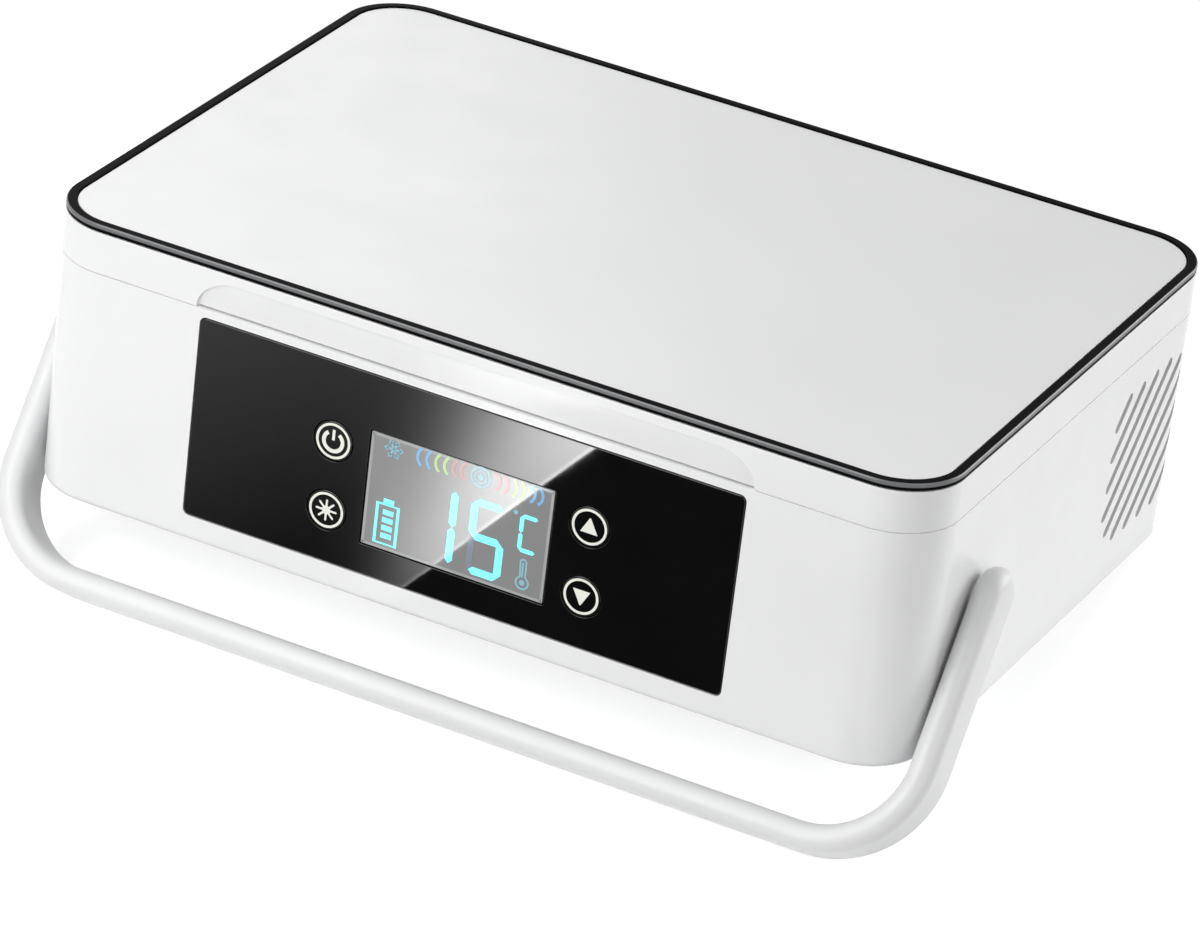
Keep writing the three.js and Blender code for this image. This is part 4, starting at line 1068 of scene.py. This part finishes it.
# %% Finishes of the inner parts
def welded_and_smooth():
    """A node modifier: points that coincide become one, and the faces are shaded smooth."""
    tree = bpy.data.node_groups.new("welded_and_smooth", "GeometryNodeTree")
    for way in ("INPUT", "OUTPUT"):
        tree.interface.new_socket("Geometry", in_out=way, socket_type="NodeSocketGeometry")
    start = add(tree, "NodeGroupInput")[0]
    weld = add(tree, "GeometryNodeMergeByDistance", {"Geometry": start, "Distance": 1e-6})["Geometry"]
    smooth = add(tree, "GeometryNodeSetShadeSmooth", {"Geometry": weld})["Geometry"]
    add(tree, "NodeGroupOutput", {0: smooth})
    return tree


weld_tree = welded_and_smooth()


def keep(names, material, width=0.15):
    """Gives frame parts a finish, smooth shading and a fine bevel, without touching their meshes."""
    for name in names:
        part = nodes[name]
        part.data.materials.clear()
        part.data.materials.append(material)
        part.modifiers.new("weld", "NODES").node_group = weld_tree
        edge_modifiers(part, width, 2, 40)


black_plastic = moulded("black_plastic", (0.02, 0.02, 0.021), 0.45, vary=0.1, clouds=8, grain=0.008,
                        grain_size=0.3)
plain_steel = brushed("plain_steel", (0.6, 0.6, 0.6), 0.3, (1, 1, 1), 0.002)
brass = brushed("contact_brass", (0.82, 0.62, 0.3), 0.28, (1, 1, 0.1), 0.002)
sink_aluminium = brushed("extruded_aluminium", (0.8, 0.81, 0.82), 0.38, (0.03, 1, 1), 0.006)
ceramic = moulded("white_ceramic", (0.82, 0.8, 0.76), 0.55, vary=0.04, clouds=3, grain=0.01, grain_size=0.25)

foam_beads, tree, shader = new_finish("foam_beads")
bead_size = 3.2
place = add(tree, "ShaderNodeTexCoord")["Object"]
cells = add(tree, "ShaderNodeTexVoronoi", {"Vector": place, "Scale": 1 / (bead_size * MM)},
            feature="SMOOTH_F1")["Distance"]
domes = add(tree, "ShaderNodeMath", {0: 1, 1: cells}, operation="SUBTRACT")["Value"]
feed(tree, shader, {
    "Base Color": between(tree, cells, (0.86, 0.86, 0.84), (0.72, 0.72, 0.7)),
    "Roughness": spread(tree, cloud(tree, 5), 0.75, 0.9),
    "Normal": relief(tree, domes, 0.3),
})

circuit_board, tree, shader = new_finish("circuit_board", Coat_Weight=0.4, Coat_Roughness=0.05)
track_length = 9
place = add(tree, "ShaderNodeTexCoord")["Object"]
tracks = add(tree, "ShaderNodeTexBrick", {
    "Vector": place, "Scale": 1 / (track_length * MM), "Mortar Size": 0.03,
    "Color1": (0.008, 0.07, 0.03, 1), "Color2": (0.01, 0.085, 0.036, 1), "Mortar": (0.03, 0.17, 0.07, 1),
})
feed(tree, shader, {
    "Base Color": tracks["Color"],
    "Roughness": spread(tree, cloud(tree, 3), 0.3, 0.45),
    "Normal": relief(tree, tracks["Fac"], 0.03),
})
print("inner finishes ready")

# %% [markdown]
# Now each frame part that stays gets its finish. What is left over would be a mistake, so the cell
# counts them.

# %% Finish the frame's parts
small_steel = [f"{name}_{side}" for name in ("lid_magnet", "strike_plate", "hinge_pin", "handle_clip")
               for side in ("left", "right")]
screws = ["base_screw_" + corner for corner in case_corners]
switches = ["key_switch_" + name for name in key_names]
keep(["base_cover", "inner_deck", "lid_liner", "battery_door"], satin_white, 0.25)
keep(["insulation_block", "lid_insulation"], foam_beads, 0.6)
keep(["temperature_probe"] + small_steel, plain_steel)
keep(screws, plain_steel, 0.25)
keep(["cold_plate", "heat_sink"], sink_aluminium)
keep(["thermoelectric_module"], ceramic, 0.2)
keep(["fan_frame", "fan_rotor", "battery_bay", "dc_jack"] + switches, black_plastic)
keep(["main_board", "display_board"], circuit_board, 0.1)
keep(["battery_contact_1", "battery_contact_2"], brass, 0.1)
kept = [name for name, part in nodes.items() if part.modifiers]
hidden = [name for name, part in nodes.items() if part.hide_render]
print(len(kept), "parts kept,", len(hidden), "replaced, left over:", set(nodes) - set(kept) - set(hidden))

# %% [markdown]
# The case leans back a little, on its rear feet and the bar of its handle, so the floor lies at a
# slant to it. The floor is a wide round sheet of points. The camera and mirrors see it as white, with
# the case's soft shadow; other light meets it as pale paper.

# %% Floor
slope = 0.169
rear_foot_y, foot_bottom = 59.75, -2.0
floor_middle, floor_half_x, floor_half_y = -60, 330, 200
floor_glow = 0.55


def floor_height(y):
    """The floor's height in millimetres under a point: it falls towards the front from the rear feet."""
    return foot_bottom - slope * (rear_foot_y - y)


def seen_directly(tree):
    """One where the camera looks, or a mirror or clear glass; zero for light that only brightens."""
    path = add(tree, "ShaderNodeLightPath")
    seen = path["Is Camera Ray"]
    for way in ("Is Glossy Ray", "Is Transmission Ray"):
        seen = add(tree, "ShaderNodeMath", {0: seen, 1: path[way]}, operation="MAXIMUM")[0]
    return seen


rings = np.linspace(0, 1, 24)[:, None, None] * arc((0, 0), 1, 0, 360, 97)[:-1]
floor_x = floor_half_x * rings[..., 0]
floor_y = floor_middle + floor_half_y * rings[..., 1]
floor = skin("floor", [np.stack([floor_x, floor_y, floor_height(floor_y)], axis=-1)])
floor_paper, tree, shader = new_finish("white_paper", Specular_IOR_Level=0.0)
lit = add(tree, "ShaderNodeMath", {0: seen_directly(tree), 1: floor_glow}, operation="MULTIPLY")[0]
feed(tree, shader, {
    "Base Color": between(tree, cloud(tree, 80), (0.86, 0.86, 0.86), (0.9, 0.9, 0.9)),
    "Roughness": spread(tree, cloud(tree, 20), 0.8, 0.9),
    "Emission Color": (1, 1, 1, 1),
    "Emission Strength": lit,
})
below = add(tree, "ShaderNodeNewGeometry")["Backfacing"]
clear = add(tree, "ShaderNodeBsdfTransparent")[0]
one_sided = add(tree, "ShaderNodeMixShader", {0: below, 1: shader.outputs[0], 2: clear})[0]
feed(tree, tree.nodes["Material Output"], {"Surface": one_sided})
floor.data.materials.append(floor_paper)
if floor.data.polygons[0].normal.z < 0:
    floor.data.flip_normals()
print("floor falls to", round(floor_height(floor_middle - floor_half_y), 1), "mm at its front")

# %% [markdown]
# The glossy panel mirrors the floor in front of the case. A card lies there, just above the floor, that
# only mirrors see. It is dark, with one bright field that fades to the left and ends in a sharp,
# slanting edge on its right. It gives the panel its deep black and the bright wedge at its top.
# The glow is the field's strength over one plus e to the distance past the fade. A faint base, a slow
# rise further left and a fine bright line along the edge are added. Field, base and line grow with the
# distance from the case.

# %% Card for the panel
card_start, card_near, card_far, card_lift = -110.0, -166.0, -313.0, 2
edge_at, edge_slant = -49, 17.4
fade_at, fade_slant, fade_width, fade_widening = 5, 23.6, 4.5, 4.3
field_glow, base_glow, line_glow = (2.7, 13.3), (0.1, 0.25), (2, 9)  # near, and how much more far off
rise, rise_from, line_sharpness, dark_glow = 0.0055, 35, 1.5, 0.03
left = np.concatenate([np.linspace(-190, -0.3, 12), np.linspace(0, 4, 17), np.linspace(5, 70, 66),
                       np.linspace(74, 200, 22)])[None, :]
card_y = np.linspace(card_start, card_far, 60)[:, None]
far = np.clip((card_near - card_y) / (card_near - card_far), -0.4, 1)
field, base, line = (near + more * far.clip(0) for near, more in (field_glow, base_glow, line_glow))
fade = 1 + np.exp((left - fade_at - fade_slant * far) / (fade_width + fade_widening * far))
glow = field / fade + base + rise * (left - rise_from).clip(0) + line * np.exp(-line_sharpness * left**2)
glow = np.where(left < 0, dark_glow, glow)
card_x, card_y = np.broadcast_arrays(edge_at - edge_slant * far - left, card_y)
card_grid = np.stack([card_x, card_y, floor_height(card_y) + card_lift], axis=-1)
card = skin("mirror_card", [card_grid], around=False)
card.data.attributes.new("glow", "FLOAT", "POINT").data.foreach_set("value", glow.ravel().astype(np.float32))
# The card's glow is painted light that only mirrors see: it puts a painted reflection into the panel.
mirror_card_glow, tree, shader = new_finish("mirror_card_glow", Specular_IOR_Level=0.0)
feed(tree, shader, {
    "Base Color": between(tree, cloud(tree, 40), (0.02, 0.02, 0.02), (0.03, 0.03, 0.03)),
    "Roughness": spread(tree, cloud(tree, 20), 0.6, 0.8),
    "Emission Color": (1, 1, 1, 1),
    "Emission Strength": add(tree, "ShaderNodeAttribute", attribute_name="glow")["Fac"],
})
card.data.materials.append(mirror_card_glow)
card.visible_camera = card.visible_diffuse = card.visible_shadow = card.visible_transmission = False
print("card glows up to", round(float(glow.max()), 1))

# %% [markdown]
# A soft lamp in front lights the case's front and one above its left the near part of the top. One
# behind the right keeps the right wall bright, a small one at the right looks into the slots, and one
# at the far left lights the handle's back. The front right corner lies between them and stays a little
# darker. The world fills the shadows evenly, and is plain white to the camera and to mirrors.

# %% Light
lamp_aim = Vector((0, 0, 0.04))
world_fill = 0.18


def softbox(name, azimuth, elevation, power, size=0.8, distance=1.2):
    """A square lamp that faces the case from an azimuth and an elevation, in degrees and metres."""
    lamp = bpy.data.lights.new(name, "AREA")
    lamp.size = size
    lamp.energy = power
    made = placed(name, lamp)
    round_z, up = math.radians(azimuth), math.radians(elevation)
    away = Vector((math.sin(round_z) * math.cos(up), -math.cos(round_z) * math.cos(up), math.sin(up)))
    made.location = lamp_aim + distance * away
    made.rotation_euler = away.to_track_quat("Z", "Y").to_euler()


lamps = {
    "right": (135, 15, 9.4), "left": (225, 15, 1.3), "top": (320, 50, 1.9, 0.5, 0.7),
    "front": (342, 20, 3.15, 0.5, 0.8), "near_right": (60, 20, 1.2, 0.5, 0.8),
}
for name, values in lamps.items():
    softbox(name + "_softbox", *values)
world = bpy.data.worlds.new("white_studio")
bpy.context.scene.world = world
world.use_nodes = True
tree = world.node_tree
limits = {"Value": seen_directly(tree), "To Min": world_fill, "To Max": 1.0}
feed(tree, tree.nodes["Background"], {
    "Color": (1, 1, 1, 1), "Strength": add(tree, "ShaderNodeMapRange", limits)["Result"],
})
bpy.context.scene.view_settings.view_transform = "Standard"
print(len(lamps), "lamps and the world")
